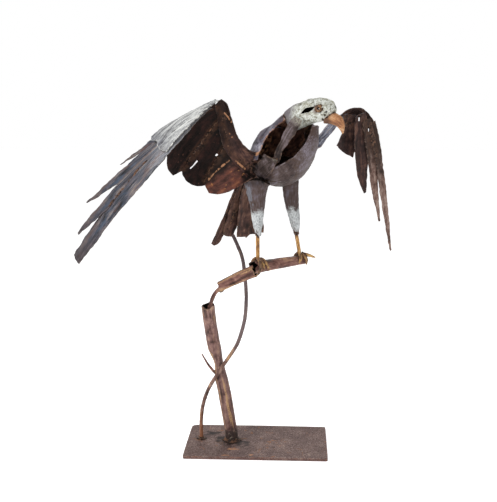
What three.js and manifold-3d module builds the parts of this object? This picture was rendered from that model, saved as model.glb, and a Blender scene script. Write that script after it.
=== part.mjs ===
// Scrap metal eagle on a bent pipe perch, welded to a steel base plate.
// Millimetres, +Z up. The origin is the middle of the plate's underside, X runs along the plate's long side.

import * as THREE from 'three';
import { mergeVertices } from 'three/addons/utils/BufferGeometryUtils.js';
import Module from 'manifold-3d';

const wasm = await Module();
wasm.setup();

// Driving dimensions of the stand
const PLATE_W = 305;
const PLATE_D = 203;
const PLATE_T = 6.4;
const PLATE_CORNER = 6;
const PLATE_CLIP = 9;
const PIPE_R = 14;
const PIPE_WALL = 2.6;
const BRANCH_R = 12.6;
const BRANCH_TORN_R = 11;
const BRANCH_START_R = 13.5;
const BRANCH_END_R = 9.5;
const ROD_R = 4;
const WELD_W = 6;
const PERCH_HEIGHT = 413;

// Driving dimensions of the bird
const BODY_LENGTH = 200;
const SHEET = 2;
const LEG_R = 4;
const TOE_R = 3.6;
const NUT_FLATS = 13;
const NUT_BORE = 6;
const NUT_T = 5;

// Gap left where one piece is welded to the next
const GAP = 0.35;

// Corners closer to a straight edge than this are left out
const SMOOTHED = 0.2;

// The bird faces this way, square across the upper branch
const HEADING = THREE.MathUtils.degToRad(-50);

// Finishes: colour, roughness, metalness
const RUST = [0x4a2f26, 0.85, 0.45];
const DARK_RUST = [0x2b1d1a, 0.9, 0.4];
const ORANGE_RUST = [0x6b3a22, 0.85, 0.35];
const STEEL = [0x4b4650, 0.6, 0.7];
const BLUE_STEEL = [0x5c6270, 0.55, 0.7];
const WHITE = [0xb9bcb8, 0.8, 0.15];
const OCHRE = [0x9a6226, 0.7, 0.3];

const vec = (x, y, z) => new THREE.Vector3(x, y, z);
const UP = vec(0, 0, 1);
const lerp = THREE.MathUtils.lerp;

// Stand points are per cent of the perch height, measured from the foot of the post
const FOOT = vec(-0.18 * PLATE_W, 0.01 * PLATE_D, PLATE_T);
const stand = (x, y, z) => vec(x, y, z).multiplyScalar(PERCH_HEIGHT / 100).add(FOOT);
const PERCH = stand(24.8, -9, 100);

// Bird points are forward, left and up, in per cent of the body length, from the perch between the feet
const UNIT = BODY_LENGTH / 100;
const towards = (f, l, u) => vec(f, l, u).applyAxisAngle(UP, HEADING);
const bird = (f, l, u) => towards(f, l, u).multiplyScalar(UNIT).add(PERCH);
const birdCurve = (points) => new THREE.CatmullRomCurve3(points.map((p) => bird(...p)));
const standCurve = (points) => new THREE.CatmullRomCurve3(points.map((p) => stand(...p)));

// A smooth run through evenly spaced values, for widths and radii
function run(values) {
  const last = values.length - 1;
  const points = values.map((value, i) => vec(i / last, value, 0));
  const curve = new THREE.CatmullRomCurve3(points, false, 'catmullrom');
  return (t) => curve.getPoint(THREE.MathUtils.clamp(t, 0, 1)).y;
}

// A repeatable uneven line between -1 and 1, for torn and hammered edges
function uneven(x, seed) {
  const fine = 0.3 * Math.sin(13.7 * x + 2.3 * seed) + 0.2 * Math.sin(23 * x + 1.7 * seed);
  return 0.5 * Math.sin(7.1 * x + seed) + fine;
}

// Closed surface through rings of equal count. Without wrap the first and last ring are capped.
function lofted(rings, wrap = false) {
  const count = rings[0].length;
  const positions = rings.flat().flatMap((p) => [p.x, p.y, p.z]);
  const index = [];
  const quad = (a, b, c, d) => index.push(a, b, c, a, c, d);
  const at = (i, j) => (i % rings.length) * count + (j % count);
  const spans = wrap ? rings.length : rings.length - 1;
  for (let i = 0; i < spans; i++) {
    for (let j = 0; j < count; j++) quad(at(i, j), at(i, j + 1), at(i + 1, j + 1), at(i + 1, j));
  }
  if (!wrap) {
    const end = rings.length - 1;
    for (let j = 0; j < count / 2 - 1; j++) {
      const far = count - 1 - j;
      quad(at(0, j), at(0, far), at(0, far - 1), at(0, j + 1));
      quad(at(end, j), at(end, j + 1), at(end, far - 1), at(end, far));
    }
  }
  const geometry = new THREE.BufferGeometry();
  geometry.setAttribute('position', new THREE.Float32BufferAttribute(positions, 3));
  geometry.setIndex(index);
  return mergeVertices(geometry, 1e-4);
}

// Ring of points around a centre, in the plane of two directions
function ring(centre, across, over, radiusAcross, radiusOver, sides) {
  const points = [];
  for (let j = 0; j < sides; j++) {
    const angle = (2 * Math.PI * (j + 0.5)) / sides;
    const point = centre.clone();
    point.addScaledVector(across, radiusAcross * Math.cos(angle));
    point.addScaledVector(over, radiusOver * Math.sin(angle));
    points.push(point);
  }
  return points;
}

// Directions square to a curve that never twist: across stays level with the hint
function frameAt(curve, t, hint) {
  const tangent = curve.getTangent(THREE.MathUtils.clamp(t, 0, 1));
  const across = vec().crossVectors(hint, tangent).normalize();
  const over = vec().crossVectors(tangent, across).normalize();
  return { tangent, across, over };
}

// Solid bar along a curve
function bar(curve, radius, { sides = 8, steps = 8, hint = UP, flat = 1 } = {}) {
  const rings = [];
  for (let i = 0; i <= steps; i++) {
    const t = i / steps;
    const { across, over } = frameAt(curve, t, hint);
    rings.push(ring(curve.getPoint(t), across, over, radius(t), radius(t) * flat, sides));
  }
  return lofted(rings);
}

// Open pipe along a curve, with uneven ends and dents
function pipe(curve, radius, wall, options = {}) {
  const { sides = 12, steps = 6, hint = UP, tornStart = 0, tornEnd = 0, dent = () => 0 } = options;
  const stops = Array.from({ length: steps + 1 }, (_, i) => i / steps);
  const length = curve.getLength();
  const rings = [];
  for (let j = 0; j < sides; j++) {
    const angle = (2 * Math.PI * j) / sides;
    const pointAt = (t, inset) => {
      const torn = t === 0 ? tornStart * uneven(angle, 2) : t === 1 ? tornEnd * uneven(angle, 5) : 0;
      const place = THREE.MathUtils.clamp(t + torn / length, 0, 1);
      const beyond = (t + torn / length - place) * length;
      const { tangent, across, over } = frameAt(curve, place, hint);
      const reach = (radius(t) - inset) * (1 - dent(t, angle));
      const point = curve.getPoint(place).addScaledVector(tangent, beyond);
      point.addScaledVector(across, reach * Math.cos(angle));
      return point.addScaledVector(over, reach * Math.sin(angle));
    };
    const outer = stops.map((t) => pointAt(t, 0));
    const inner = stops.map((t) => pointAt(t, wall)).reverse();
    rings.push([...outer, ...inner]);
  }
  return lofted(rings, true);
}

// Sheet metal panel: a thickness laid on both sides of a surface of u 0 to 1 and v -1 to 1
function panel(surface, { face, along = 8, across = 4, thick = SHEET, layer = 0, torn = {}, seed = 1 }) {
  const { start = 0, end = 0, left = 0, right = 0 } = torn;
  const step = 1e-3;
  const place = (i, j) => {
    const v0 = (2 * j) / across - 1;
    const from = start * (0.5 + 0.5 * uneven(v0 * 1.3, seed));
    const to = 1 - end * (0.5 + 0.5 * uneven(v0 * 1.3 + 4, seed));
    const u = lerp(from, to, i / along);
    const side = v0 < 0 ? left : right;
    const v = v0 * (1 - side * (0.5 + 0.5 * uneven(u * 2 + Math.sign(v0), seed)));
    return [u, v];
  };
  const normalAt = (u, v) => {
    const du = surface(Math.min(u + step, 1), v).sub(surface(Math.max(u - step, 0), v));
    const dv = surface(u, v + step).sub(surface(u, v - step));
    return du.cross(dv).normalize();
  };
  const sign = Math.sign(normalAt(0.5, 0).dot(face)) || 1;
  const rings = [];
  for (let i = 0; i <= along; i++) {
    const outer = [];
    const inner = [];
    for (let j = 0; j <= across; j++) {
      const [u, v] = place(i, j);
      const normal = normalAt(u, v).multiplyScalar(sign);
      const middle = surface(u, v).addScaledVector(normal, layer * (SHEET + GAP));
      outer.push(middle.clone().addScaledVector(normal, thick / 2));
      inner.unshift(middle.clone().addScaledVector(normal, -thick / 2));
    }
    rings.push([...outer, ...inner]);
  }
  return lofted(rings);
}

// Surface between two edge curves, bowed towards its face
function between(edgeA, edgeB, face, bow) {
  return (u, v) => {
    const point = edgeA.getPoint(u).lerp(edgeB.getPoint(u), (v + 1) / 2);
    return point.addScaledVector(face, bow(u) * (1 - v * v));
  };
}

// Surface of a feather: a centre line, a half width along it, and edges that curl away from its face
function feather(line, half, face, curl) {
  return (u, v) => {
    const tangent = line.getTangent(u);
    const across = vec().crossVectors(face, tangent).normalize();
    const out = vec().crossVectors(tangent, across).normalize();
    const radius = half(u) / Math.sin(curl / 2);
    const angle = (v * curl) / 2;
    const point = line.getPoint(u).addScaledVector(across, radius * Math.sin(angle));
    return point.addScaledVector(out, radius * (Math.cos(angle) - 1));
  };
}

// Solids for joining and cutting
function toSolid(geometry) {
  const bare = new THREE.BufferGeometry();
  bare.setAttribute('position', geometry.getAttribute('position').clone());
  if (geometry.index) bare.setIndex(geometry.index.clone());
  const merged = mergeVertices(bare, 1e-4);
  const vertProperties = new Float32Array(merged.getAttribute('position').array);
  const triVerts = new Uint32Array(merged.index.array);
  const build = () => new wasm.Manifold(new wasm.Mesh({ numProp: 3, vertProperties, triVerts }));
  const solid = build();
  if (solid.volume() > 0) return solid;
  triVerts.reverse();
  return build();
}

function toGeometry(solid) {
  const mesh = solid.getMesh();
  const geometry = new THREE.BufferGeometry();
  geometry.setAttribute('position', new THREE.BufferAttribute(new Float32Array(mesh.vertProperties), 3));
  geometry.setIndex(new THREE.BufferAttribute(new Uint32Array(mesh.triVerts), 1));
  geometry.computeVertexNormals();
  return geometry;
}

// The same solid with every face moved out by the weld gap: each corner keeps its mitre
function grown(solid, gap) {
  const mesh = solid.getMesh();
  const points = new Float32Array(mesh.vertProperties);
  const corner = (n) => vec(points[3 * n], points[3 * n + 1], points[3 * n + 2]);
  const sums = Array.from({ length: points.length / 3 }, () => {
    return { m: new THREE.Matrix3(0, 0, 0, 0, 0, 0, 0, 0, 0), n: vec() };
  });
  for (let i = 0; i < mesh.triVerts.length; i += 3) {
    const [a, b, c] = [0, 1, 2].map((k) => corner(mesh.triVerts[i + k]));
    const area = vec().crossVectors(b.clone().sub(a), c.clone().sub(a));
    if (area.length() < 1e-6) continue;
    const n = area.clone().normalize();
    for (let k = 0; k < 3; k++) {
      const sum = sums[mesh.triVerts[i + k]];
      const e = sum.m.elements;
      for (let cell = 0; cell < 9; cell++) {
        e[cell] += n.getComponent(cell % 3) * n.getComponent(Math.floor(cell / 3));
      }
      sum.n.add(n);
    }
  }
  sums.forEach((sum, i) => {
    const e = sum.m.elements;
    const steady = 0.02 * (e[0] + e[4] + e[8]);
    const start = sum.n.clone().normalize().multiplyScalar(gap);
    e[0] += steady;
    e[4] += steady;
    e[8] += steady;
    const pull = sum.n.clone().multiplyScalar(gap).addScaledVector(start, steady);
    const move = pull.applyMatrix3(sum.m.invert());
    move.clampLength(gap, 1.8 * gap);
    points[3 * i] += move.x;
    points[3 * i + 1] += move.y;
    points[3 * i + 2] += move.z;
  });
  const triVerts = new Uint32Array(mesh.triVerts);
  return new wasm.Manifold(new wasm.Mesh({ numProp: 3, vertProperties: points, triVerts }));
}

// Each piece is cut back by the pieces made before it, so that welded pieces meet with the gap between them
const sculpture = new THREE.Group();
sculpture.name = 'scrap_metal_eagle';
const earlier = [];

function add(name, geometry, finish, cutters = []) {
  const whole = toSolid(geometry);
  const box = whole.boundingBox();
  let solid = whole;
  for (const cutter of cutters) solid = solid.subtract(cutter);
  for (const piece of earlier) {
    const apart = [0, 1, 2].some((k) => piece.box.min[k] > box.max[k] || piece.box.max[k] < box.min[k]);
    if (!apart) solid = solid.subtract(piece.solid);
  }
  const bodies = solid.simplify(SMOOTHED).decompose().sort((a, b) => b.volume() - a.volume());
  const around = grown(whole, GAP);
  earlier.push({ name, solid: around, box: around.boundingBox() });
  const [color, roughness, metalness] = finish;
  const material = new THREE.MeshStandardMaterial({ color, roughness, metalness, flatShading: true });
  const mesh = new THREE.Mesh(toGeometry(bodies[0]), material);
  mesh.name = name;
  sculpture.add(mesh);
}

// Base plate: rounded corners, one back corner clipped
function basePlate() {
  const w = PLATE_W / 2;
  const d = PLATE_D / 2;
  const r = PLATE_CORNER;
  const shape = new THREE.Shape();
  shape.moveTo(-w + r, -d);
  shape.lineTo(w - r, -d);
  shape.absarc(w - r, -d + r, r, -Math.PI / 2, 0);
  shape.lineTo(w, d - r);
  shape.absarc(w - r, d - r, r, 0, Math.PI / 2);
  shape.lineTo(-w + PLATE_CLIP, d);
  shape.lineTo(-w, d - PLATE_CLIP);
  shape.lineTo(-w, -d + r);
  shape.absarc(-w + r, -d + r, r, Math.PI, 1.5 * Math.PI);
  return new THREE.ExtrudeGeometry(shape, { depth: PLATE_T, bevelEnabled: false, curveSegments: 4 });
}

add('base_plate', basePlate(), RUST);

// Post: a leaning pipe, pinched where a strip of its wall is peeled out
const POST_LINE = standCurve([
  [0, 0, 0],
  [-2.6, -2.7, 20.6],
  [-5.6, -5.3, 37.2],
  [-8.1, -8.3, 50.8],
  [-9.6, -12.2, 61.7],
  [-10.9, -17, 76.4],
]);
const PINCH_AT = 0.48;
const CROSSING_AT = 0.41;
const BEHIND = vec(0, 1, 0);
const pinch = (t, angle) => {
  const near = Math.exp(-(((t - PINCH_AT) / 0.07) ** 2));
  return near * (0.18 * Math.abs(Math.cos(angle)) + 0.34 * Math.max(0, -Math.cos(angle)));
};
const flush = vec(0, 0, GAP);
const postLine = new THREE.CatmullRomCurve3(POST_LINE.points.map((p) => p.clone().add(flush)));
const postForm = { steps: 8, sides: 10, hint: BEHIND, tornEnd: 5, dent: pinch };
add('post', pipe(postLine, () => PIPE_R, PIPE_WALL, postForm), RUST);

const peelRoot = postLine.getPoint(PINCH_AT - 0.02);
const peelLine = new THREE.CatmullRomCurve3([
  peelRoot.clone().add(vec(-0.5 * PIPE_R, -0.2 * PIPE_R, -0.9 * PIPE_R)),
  peelRoot.clone().add(vec(-1.5 * PIPE_R, -0.4 * PIPE_R, 0.3 * PIPE_R)),
  peelRoot.clone().add(vec(-2.6 * PIPE_R, -0.6 * PIPE_R, 2.3 * PIPE_R)),
]);
const peelRadius = run([0.24 * PIPE_R, 0.2 * PIPE_R, 0.1 * PIPE_R]);
add('post_peeled_strip', bar(peelLine, peelRadius, { steps: 5, sides: 6, hint: BEHIND, flat: 0.55 }), RUST);

// Branch: the upper pipe carries the feet, its top edge level with the perch
const perchAt = (l) => bird(0, l, 0);
const UPPER_FROM = -34;
const UPPER_TO = 36;
const branchRadius = (t) => lerp(BRANCH_START_R, BRANCH_END_R, t);
const radiusUnder = (l) => branchRadius((l - UPPER_FROM) / (UPPER_TO - UPPER_FROM));
const upperStart = perchAt(UPPER_FROM).addScaledVector(UP, -BRANCH_START_R - GAP);
const upperEnd = perchAt(UPPER_TO).addScaledVector(UP, -BRANCH_END_R - GAP);
const upperLine = new THREE.LineCurve3(upperStart, upperEnd);
const upperForm = { steps: 5, tornStart: 7, tornEnd: 1.5 };
add('branch_upper_pipe', pipe(upperLine, branchRadius, PIPE_WALL, upperForm), RUST);

const lowerStart = stand(-5, -18.2, 86.4);
const lowerEnd = upperStart.clone().add(towards(0, 0.3 * BRANCH_R, -0.55 * BRANCH_R));
const lowerMiddle = lowerStart.clone().lerp(lowerEnd, 0.5).addScaledVector(UP, 0.1 * BRANCH_R);
const lowerLine = new THREE.CatmullRomCurve3([lowerStart, lowerMiddle, lowerEnd]);
const lowerForm = { steps: 5, tornStart: 4, tornEnd: 3 };
const lowerRadius = (t) => lerp(BRANCH_TORN_R, BRANCH_R, t);
add('branch_lower_pipe', pipe(lowerLine, lowerRadius, PIPE_WALL, lowerForm), RUST);

// Strap of pipe wall left at the bend between post and branch
const strapLine = new THREE.CatmullRomCurve3([
  postLine.getPoint(0.97).add(vec(-0.2 * PIPE_R, 0.5 * PIPE_R, 0)),
  stand(-9.2, -15.6, 80),
  stand(-7.2, -15.4, 84),
  lowerStart.clone().add(vec(0.6 * BRANCH_R, 0.2 * BRANCH_R, -0.1 * BRANCH_R)),
]);
const strapFace = vec(-0.75, -0.3, 0.5).normalize();
const strap = feather(strapLine, run([10, 9, 7.5, 8]), strapFace, 1.6);
add('bend_strap', panel(strap, { face: strapFace, along: 4, across: 2, thick: PIPE_WALL }), RUST);

// Support rod: rises from the plate, crosses the post and reaches the tail
const beside = vec(-0.35, -0.94, 0).multiplyScalar(PIPE_R + ROD_R + 2 * GAP);
const crossing = postLine.getPoint(CROSSING_AT).add(beside);
const ROD_TOP = bird(-69.5, -9, 17);
const rodPoints = [
  stand(-16.5, 1.5, 0).add(flush),
  stand(-16.5, 0, 10.8),
  stand(-14.5, -2.9, 22.7),
  stand(-10.4, -7.3, 32.8),
  crossing,
  stand(-2.4, -12.4, 46.2),
  stand(3.1, -12.1, 54.6),
  stand(7, -10.2, 66.7),
  stand(8, -8.2, 79.3),
  stand(7, -3.4, 89.9),
  stand(5.1, 4.4, 98.2),
  ROD_TOP,
];
const rodCircle = new THREE.Shape();
rodCircle.absarc(0, 0, ROD_R, 0, 2 * Math.PI);
const rodLine = new THREE.CatmullRomCurve3(rodPoints);
const rodForm = { steps: 20, curveSegments: 4, extrudePath: rodLine, bevelEnabled: false };
add('support_rod', new THREE.ExtrudeGeometry(rodCircle, rodForm), RUST);

// Weld beads round the feet of post and rod
function weldRing(radius, width, foot) {
  const inside = radius + 2 * GAP;
  const profile = [
    [inside, GAP],
    [inside + width, GAP],
    [inside + 0.4 * width, 0.5 * width],
    [inside, 0.8 * width],
    [inside, GAP],
  ];
  const geometry = new THREE.LatheGeometry(profile.map(([x, y]) => new THREE.Vector2(x, y)), 8);
  geometry.rotateX(Math.PI / 2);
  geometry.translate(foot.x, foot.y, PLATE_T);
  return geometry;
}
add('post_weld', weldRing(PIPE_R, WELD_W, FOOT), DARK_RUST);
add('rod_weld', weldRing(ROD_R, 0.8 * WELD_W, rodPoints[0]), DARK_RUST);

// Legs and feet: a rod down each thigh, with four toes bent round the pipe
const FOOT_SPREAD = 28.2;
const legTops = { right: [-0.8, -28.1, 48], left: [-5.2, 22.4, 46] };

function toe(l, { bend, reach, spread, straight }) {
  const radius = radiusUnder(l) + TOE_R + 2 * GAP;
  const centre = perchAt(l).addScaledVector(UP, -radiusUnder(l));
  const points = [];
  for (let i = 0; i <= 4; i++) {
    const t = i / 4;
    const angle = lerp(0.28 * Math.sign(bend), bend, t);
    const point = centre.clone();
    point.addScaledVector(towards(1, 0, 0), radius * Math.sin(angle) + reach * t * straight);
    point.addScaledVector(UP, radius * Math.cos(angle));
    point.addScaledVector(towards(0, 1, 0), spread * (0.25 + 0.75 * t));
    points.push(point);
  }
  const radii = run([0.95, 1, 0.9, 0.7, 0.25].map((share) => share * TOE_R));
  return bar(new THREE.CatmullRomCurve3(points), radii, { sides: 6, steps: 5, hint: towards(0, 1, 0) });
}

const TOES = {
  right: {
    inner: { bend: 2.1, reach: 4, spread: 17, straight: 0 },
    middle: { bend: 2, reach: 0, spread: 3, straight: 0 },
    outer: { bend: 2.7, reach: 6, spread: -14, straight: 1 },
    back: { bend: -1.7, reach: 0, spread: -4, straight: 0 },
  },
  left: {
    inner: { bend: 1.9, reach: 0, spread: -13, straight: 0 },
    middle: { bend: 2.3, reach: 0, spread: 9, straight: 0 },
    outer: { bend: 1.05, reach: 18, spread: 18, straight: 1 },
    back: { bend: -1.7, reach: 0, spread: -5, straight: 0 },
  },
};

for (const [side, sign] of [['right', -1], ['left', 1]]) {
  const l = sign * FOOT_SPREAD;
  const legLine = new THREE.CatmullRomCurve3([perchAt(l).addScaledVector(UP, GAP), bird(...legTops[side])]);
  add(`${side}_leg_rod`, bar(legLine, () => LEG_R, { steps: 2, sides: 8, hint: BEHIND }), OCHRE);
  for (const [name, form] of Object.entries(TOES[side])) add(`${side}_toe_${name}`, toe(l, form), OCHRE);
}

// Thighs: sheet rolled into a long cone round the leg rod
const THIGHS = {
  right: {
    line: [[-1, -28.6, 83], [-1.4, -28.9, 72.4], [-0.8, -28.1, 57], [-0.8, -28.1, 41.6], [0.2, -27.2, 25]],
    radii: [13, 10.8, 7.9, 5.7, 2.6],
  },
  left: {
    line: [[-6.9, 18.5, 86], [-5.8, 20.1, 70], [-5.6, 21.8, 54], [-4, 24, 38], [-2.4, 25.9, 23]],
    radii: [11, 8.4, 7.3, 5.8, 2.6],
  },
};
for (const [side, { line, radii }] of Object.entries(THIGHS)) {
  const width = run(radii);
  const form = { steps: 4, sides: 9, hint: BEHIND, tornStart: 3, tornEnd: 1.5 };
  add(`${side}_thigh`, pipe(birdCurve(line), (t) => width(t) * UNIT, SHEET, form), STEEL);
}

// Trunk: an egg-shaped form from tail to neck, whose skin is cut into plates and strips
const TRUNK = {
  centre: birdCurve([
    [-42, 0, 99],
    [-21, 0, 102],
    [0, 0, 105.5],
    [18.5, 0, 118.5],
    [30, 1, 133],
    [37.3, 4, 147],
  ]),
  over: run([4, 22, 30.5, 25.5, 22, 17]),
  wide: run([5, 23, 29, 28, 21, 14]),
};
// Angle 0 is the bird's left, 90 its back, 180 its right and 270 its belly
function trunkPoint(s, degrees) {
  const place = THREE.MathUtils.clamp(s, 0, 1);
  const { across, over } = frameAt(TRUNK.centre, place, towards(-0.7, 0, 0.7));
  const angle = THREE.MathUtils.degToRad(degrees);
  const point = TRUNK.centre.getPoint(place);
  point.addScaledVector(across, TRUNK.wide(place) * UNIT * Math.cos(angle));
  return point.addScaledVector(over, TRUNK.over(place) * UNIT * Math.sin(angle));
}

// A skin plate covers a stretch of the trunk. Its rear and front ends may vary across it, and the angles
// of its two long edges may vary along it.
function skin(rear, front, edgeA, edgeB) {
  const [from, to, angleA, angleB] = [rear, front, edgeA, edgeB].map(run);
  return (u, v) => {
    const across = (v + 1) / 2;
    return trunkPoint(lerp(from(across), to(across), u), lerp(angleA(u), angleB(u), across));
  };
}
const mirrored = (angles) => angles.map((angle) => 180 - angle);

const BACK_EDGE = [165, 180, 184, 166, 157, 165];
const LEFT_LOW_EDGE = [-8, -18, -26, -36, -44, -48, -48, -46];

// Under or over plates lie this many layers off the skin and lap their neighbours by this angle
const UNDER = 1.5;
const OVER = 1.15;
const LAP = 7;
const LEFT_TOP_EDGE = mirrored(BACK_EDGE).map((angle) => angle + LAP);
const BREAST_EDGE = [174, 179, 190, 207, 231, 247, 252, 252];
const FLANK_EDGES = [[198, 186], [226, 216]];
const TRUNK_PLATES = [
  {
    name: 'back_plate',
    surface: skin([0.02, 0.02], [0.9, 0.92, 0.9], mirrored(BACK_EDGE), BACK_EDGE),
    face: towards(0, 0, 1),
    form: { along: 7, across: 6, torn: { end: 0.04 } },
    finish: BLUE_STEEL,
  },
  {
    name: 'breast_plate',
    surface: skin([0.02, 0.02], [0.98, 1, 0.97], BREAST_EDGE, [362, 352, 344, 334, 328, 321, 307]),
    face: towards(0, 0, -1),
    form: { along: 9, across: 6, torn: { end: 0.03 } },
    finish: STEEL,
  },
  {
    name: 'right_flank_plate',
    surface: skin([0.24, 0.3], [0.53, 0.57], ...FLANK_EDGES),
    face: towards(0, -1, 0),
    form: { along: 5, across: 3, layer: OVER, torn: { start: 0.1, end: 0.1 } },
    finish: STEEL,
  },
  {
    name: 'left_flank_plate',
    surface: skin([0.24, 0.3], [0.53, 0.57], ...FLANK_EDGES.map(mirrored)),
    face: towards(0, 1, 0),
    form: { along: 5, across: 3, layer: OVER, torn: { start: 0.1, end: 0.1 } },
    finish: STEEL,
  },
  {
    name: 'right_neck_strip',
    surface: skin([0.52, 0.55], [0.97, 0.97], [208, 196, 180, 174], [221, 214, 216, 210]),
    face: towards(0, -1, 0),
    form: { along: 8, across: 2, torn: { left: 0.15, right: 0.15 } },
    finish: STEEL,
  },
  {
    name: 'left_side_plate',
    surface: skin([0.04, 0.04], [0.93, 0.93], LEFT_TOP_EDGE, LEFT_LOW_EDGE),
    face: towards(0, 1, 0),
    form: { along: 7, across: 3, layer: -UNDER },
    finish: STEEL,
  },
];

// Head: a hollow cast shell, open behind, with a long slot behind each eye
const HEAD = {
  centre: birdCurve([
    [22, -4.5, 142],
    [32, 0.8, 148.2],
    [42, 6, 151.7],
    [50, 11.5, 153.6],
    [57.5, 17, 153.2],
    [62.5, 20.5, 151.5],
  ]),
  over: run([12.8, 12.3, 12, 12, 9.5, 3.5]),
  wide: run([8.8, 11, 12, 11.5, 8.5, 3]),
};
const HEAD_FORWARD = towards(0.81, 0.58, 0).normalize();
const HEAD_RIGHT = towards(0.58, -0.81, 0).normalize();

function headShell() {
  const sides = 10;
  const steps = 6;
  const shell = (inset) => {
    const rings = [];
    for (let i = 0; i <= steps; i++) {
      const t = i / steps;
      const { across, over } = frameAt(HEAD.centre, t, UP);
      const centre = HEAD.centre.getPoint(t).addScaledVector(HEAD_FORWARD, i === steps ? -inset : 0);
      const wide = Math.max(HEAD.wide(t) * UNIT - inset, 1);
      const high = Math.max(HEAD.over(t) * UNIT - inset, 1);
      const points = ring(centre, across, over, wide, high, sides);
      const jag = i === 0 ? 5 : 0;
      points.forEach((p, j) => p.addScaledVector(HEAD_FORWARD, jag * uneven(j * 0.9, 3)));
      rings.push(points);
    }
    return rings;
  };
  return lofted([...shell(0).reverse(), ...shell(SHEET)]);
}

// Leaf-shaped cutter through one cheek. The left slot sits lower than the right one.
const SLOT_RISE = THREE.MathUtils.degToRad(21);
const SLOT_FROM = 4 * UNIT;
const SLOT_DEPTH = 14 * UNIT;
function cheekSlot(start, side, length) {
  const height = 4.6 * UNIT;
  const leaf = new THREE.Shape();
  leaf.moveTo(0, 0);
  leaf.quadraticCurveTo(0.55 * length, -0.9 * height, length, 0.1 * height);
  leaf.quadraticCurveTo(0.5 * length, height, 0, 0);
  const form = { depth: SLOT_DEPTH, bevelEnabled: false, curveSegments: 4 };
  const geometry = new THREE.ExtrudeGeometry(leaf, form);
  geometry.translate(0, 0, (side - 1) * 0.5 * SLOT_DEPTH + side * SLOT_FROM);
  geometry.rotateZ(SLOT_RISE);
  geometry.applyMatrix4(new THREE.Matrix4().makeBasis(HEAD_FORWARD, UP, HEAD_RIGHT));
  geometry.translate(start.x, start.y, start.z);
  return toSolid(geometry);
}

const cheekSlots = [
  cheekSlot(bird(34, 1.5, 149.8), 1, 17 * UNIT),
  cheekSlot(bird(33, 0.8, 146.5), -1, 13 * UNIT),
];
add('head', headShell(), WHITE, cheekSlots);

for (const { name, surface, face, form, finish } of TRUNK_PLATES) {
  add(name, panel(surface, { face, seed: name.length, ...form }), finish);
}

// Beak: one hooked piece
const beakLine = birdCurve([
  [54.5, 12, 145],
  [61.5, 16.5, 145.3],
  [67.5, 20, 142.3],
  [70.4, 21.4, 136.8],
  [71.4, 22, 130.6],
]);
const beakOver = run([5, 6, 5.4, 3.4, 0.7]);
function beak() {
  const rings = [];
  for (let i = 0; i <= 6; i++) {
    const t = i / 6;
    const tangent = beakLine.getTangent(t);
    const over = vec().crossVectors(HEAD_RIGHT, tangent).normalize();
    const high = beakOver(t) * UNIT;
    rings.push(ring(beakLine.getPoint(t), HEAD_RIGHT, over, 0.62 * high, high, 8));
  }
  return lofted(rings);
}
add('beak', beak(), OCHRE);

// Eyes: a hexagon nut on each side of the head
function nut(side) {
  const hexagon = new THREE.Shape();
  const reach = NUT_FLATS / Math.sqrt(3);
  for (let k = 0; k < 6; k++) {
    const angle = (k * Math.PI) / 3;
    hexagon[k ? 'lineTo' : 'moveTo'](reach * Math.cos(angle), reach * Math.sin(angle));
  }
  const bore = new THREE.Path();
  bore.absarc(0, 0, NUT_BORE / 2, 0, 2 * Math.PI);
  hexagon.holes.push(bore);
  const form = { depth: NUT_T, bevelEnabled: false, curveSegments: 5 };
  const geometry = new THREE.ExtrudeGeometry(hexagon, form);
  const out = HEAD_RIGHT.clone().multiplyScalar(side);
  geometry.applyMatrix4(new THREE.Matrix4().makeBasis(vec().crossVectors(UP, out), UP, out));
  const seat = bird(50.5, 11.7, 155).addScaledVector(out, 9.6 * UNIT);
  geometry.translate(seat.x, seat.y, seat.z);
  return geometry;
}
add('right_eye', nut(1), RUST);
add('left_eye', nut(-1), RUST);

const inFront = towards(0.76, -0.63, 0.15).normalize();

// Small torn hole: a cutter through the sheets there, drawn out along one direction
function tear(at, along, through, length, width) {
  const side = vec().crossVectors(through, along).normalize();
  const reach = 12 * SHEET;
  const ends = [-reach, reach].map((shift) => {
    return ring(at.clone().addScaledVector(through, shift), along, side, length / 2, width / 2, 4);
  });
  return toSolid(lofted(ends));
}

// Right wing: the arm and three lobes cup forwards, the hand sweeps down and out
const CUP_FACE = towards(-0.5, 0.7, 0.55).normalize();
const armLead = birdCurve([
  [1, -18, 104],
  [-7, -39, 116.2],
  [-3.5, -53.2, 130.5],
  [0.4, -62.5, 146.4],
  [2.5, -68.5, 159],
  [0, -74, 163.5],
]);
const armLow = birdCurve([
  [-13, -24, 82],
  [-17.3, -49.5, 103],
  [-18.5, -61, 123.4],
  [-12.2, -69, 143.4],
  [-7.8, -76, 155.2],
  [-5, -77, 158],
]);
const rightArm = between(armLead, armLow, CUP_FACE, run([5 * UNIT, 6 * UNIT, 6 * UNIT, 4 * UNIT]));

// The cup behind the arm is one swept surface, and each lobe is a band of it with a rounded end
const cupLead = birdCurve([
  [-8, -23, 100],
  [-12, -42, 112],
  [-9, -57, 134],
  [-5, -66, 150],
  [-4, -77, 160],
]);
const cupTrail = birdCurve([
  [-15, -25, 80],
  [-28, -63, 63],
  [-43.5, -81, 71],
  [-52, -98, 80],
  [-40, -124, 106],
]);
const cup = between(cupLead, cupTrail, CUP_FACE, run([4 * UNIT, 9 * UNIT, 13 * UNIT, 11 * UNIT]));
function lobe(from, to, round) {
  return (u, v) => {
    const a = lerp(from, to, (v + 1) / 2);
    const reach = 1 - round * v * v;
    return cup(a, lerp(-1, 1, 0.04 + 0.96 * u * reach));
  };
}
const armForm = { face: CUP_FACE, along: 6, across: 4, seed: 3, torn: { end: 0.03, right: 0.08 } };
add('right_wing_arm', panel(rightArm, armForm), RUST);
const slit = towards(0.41, 0.56, 0.72).normalize();
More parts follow.
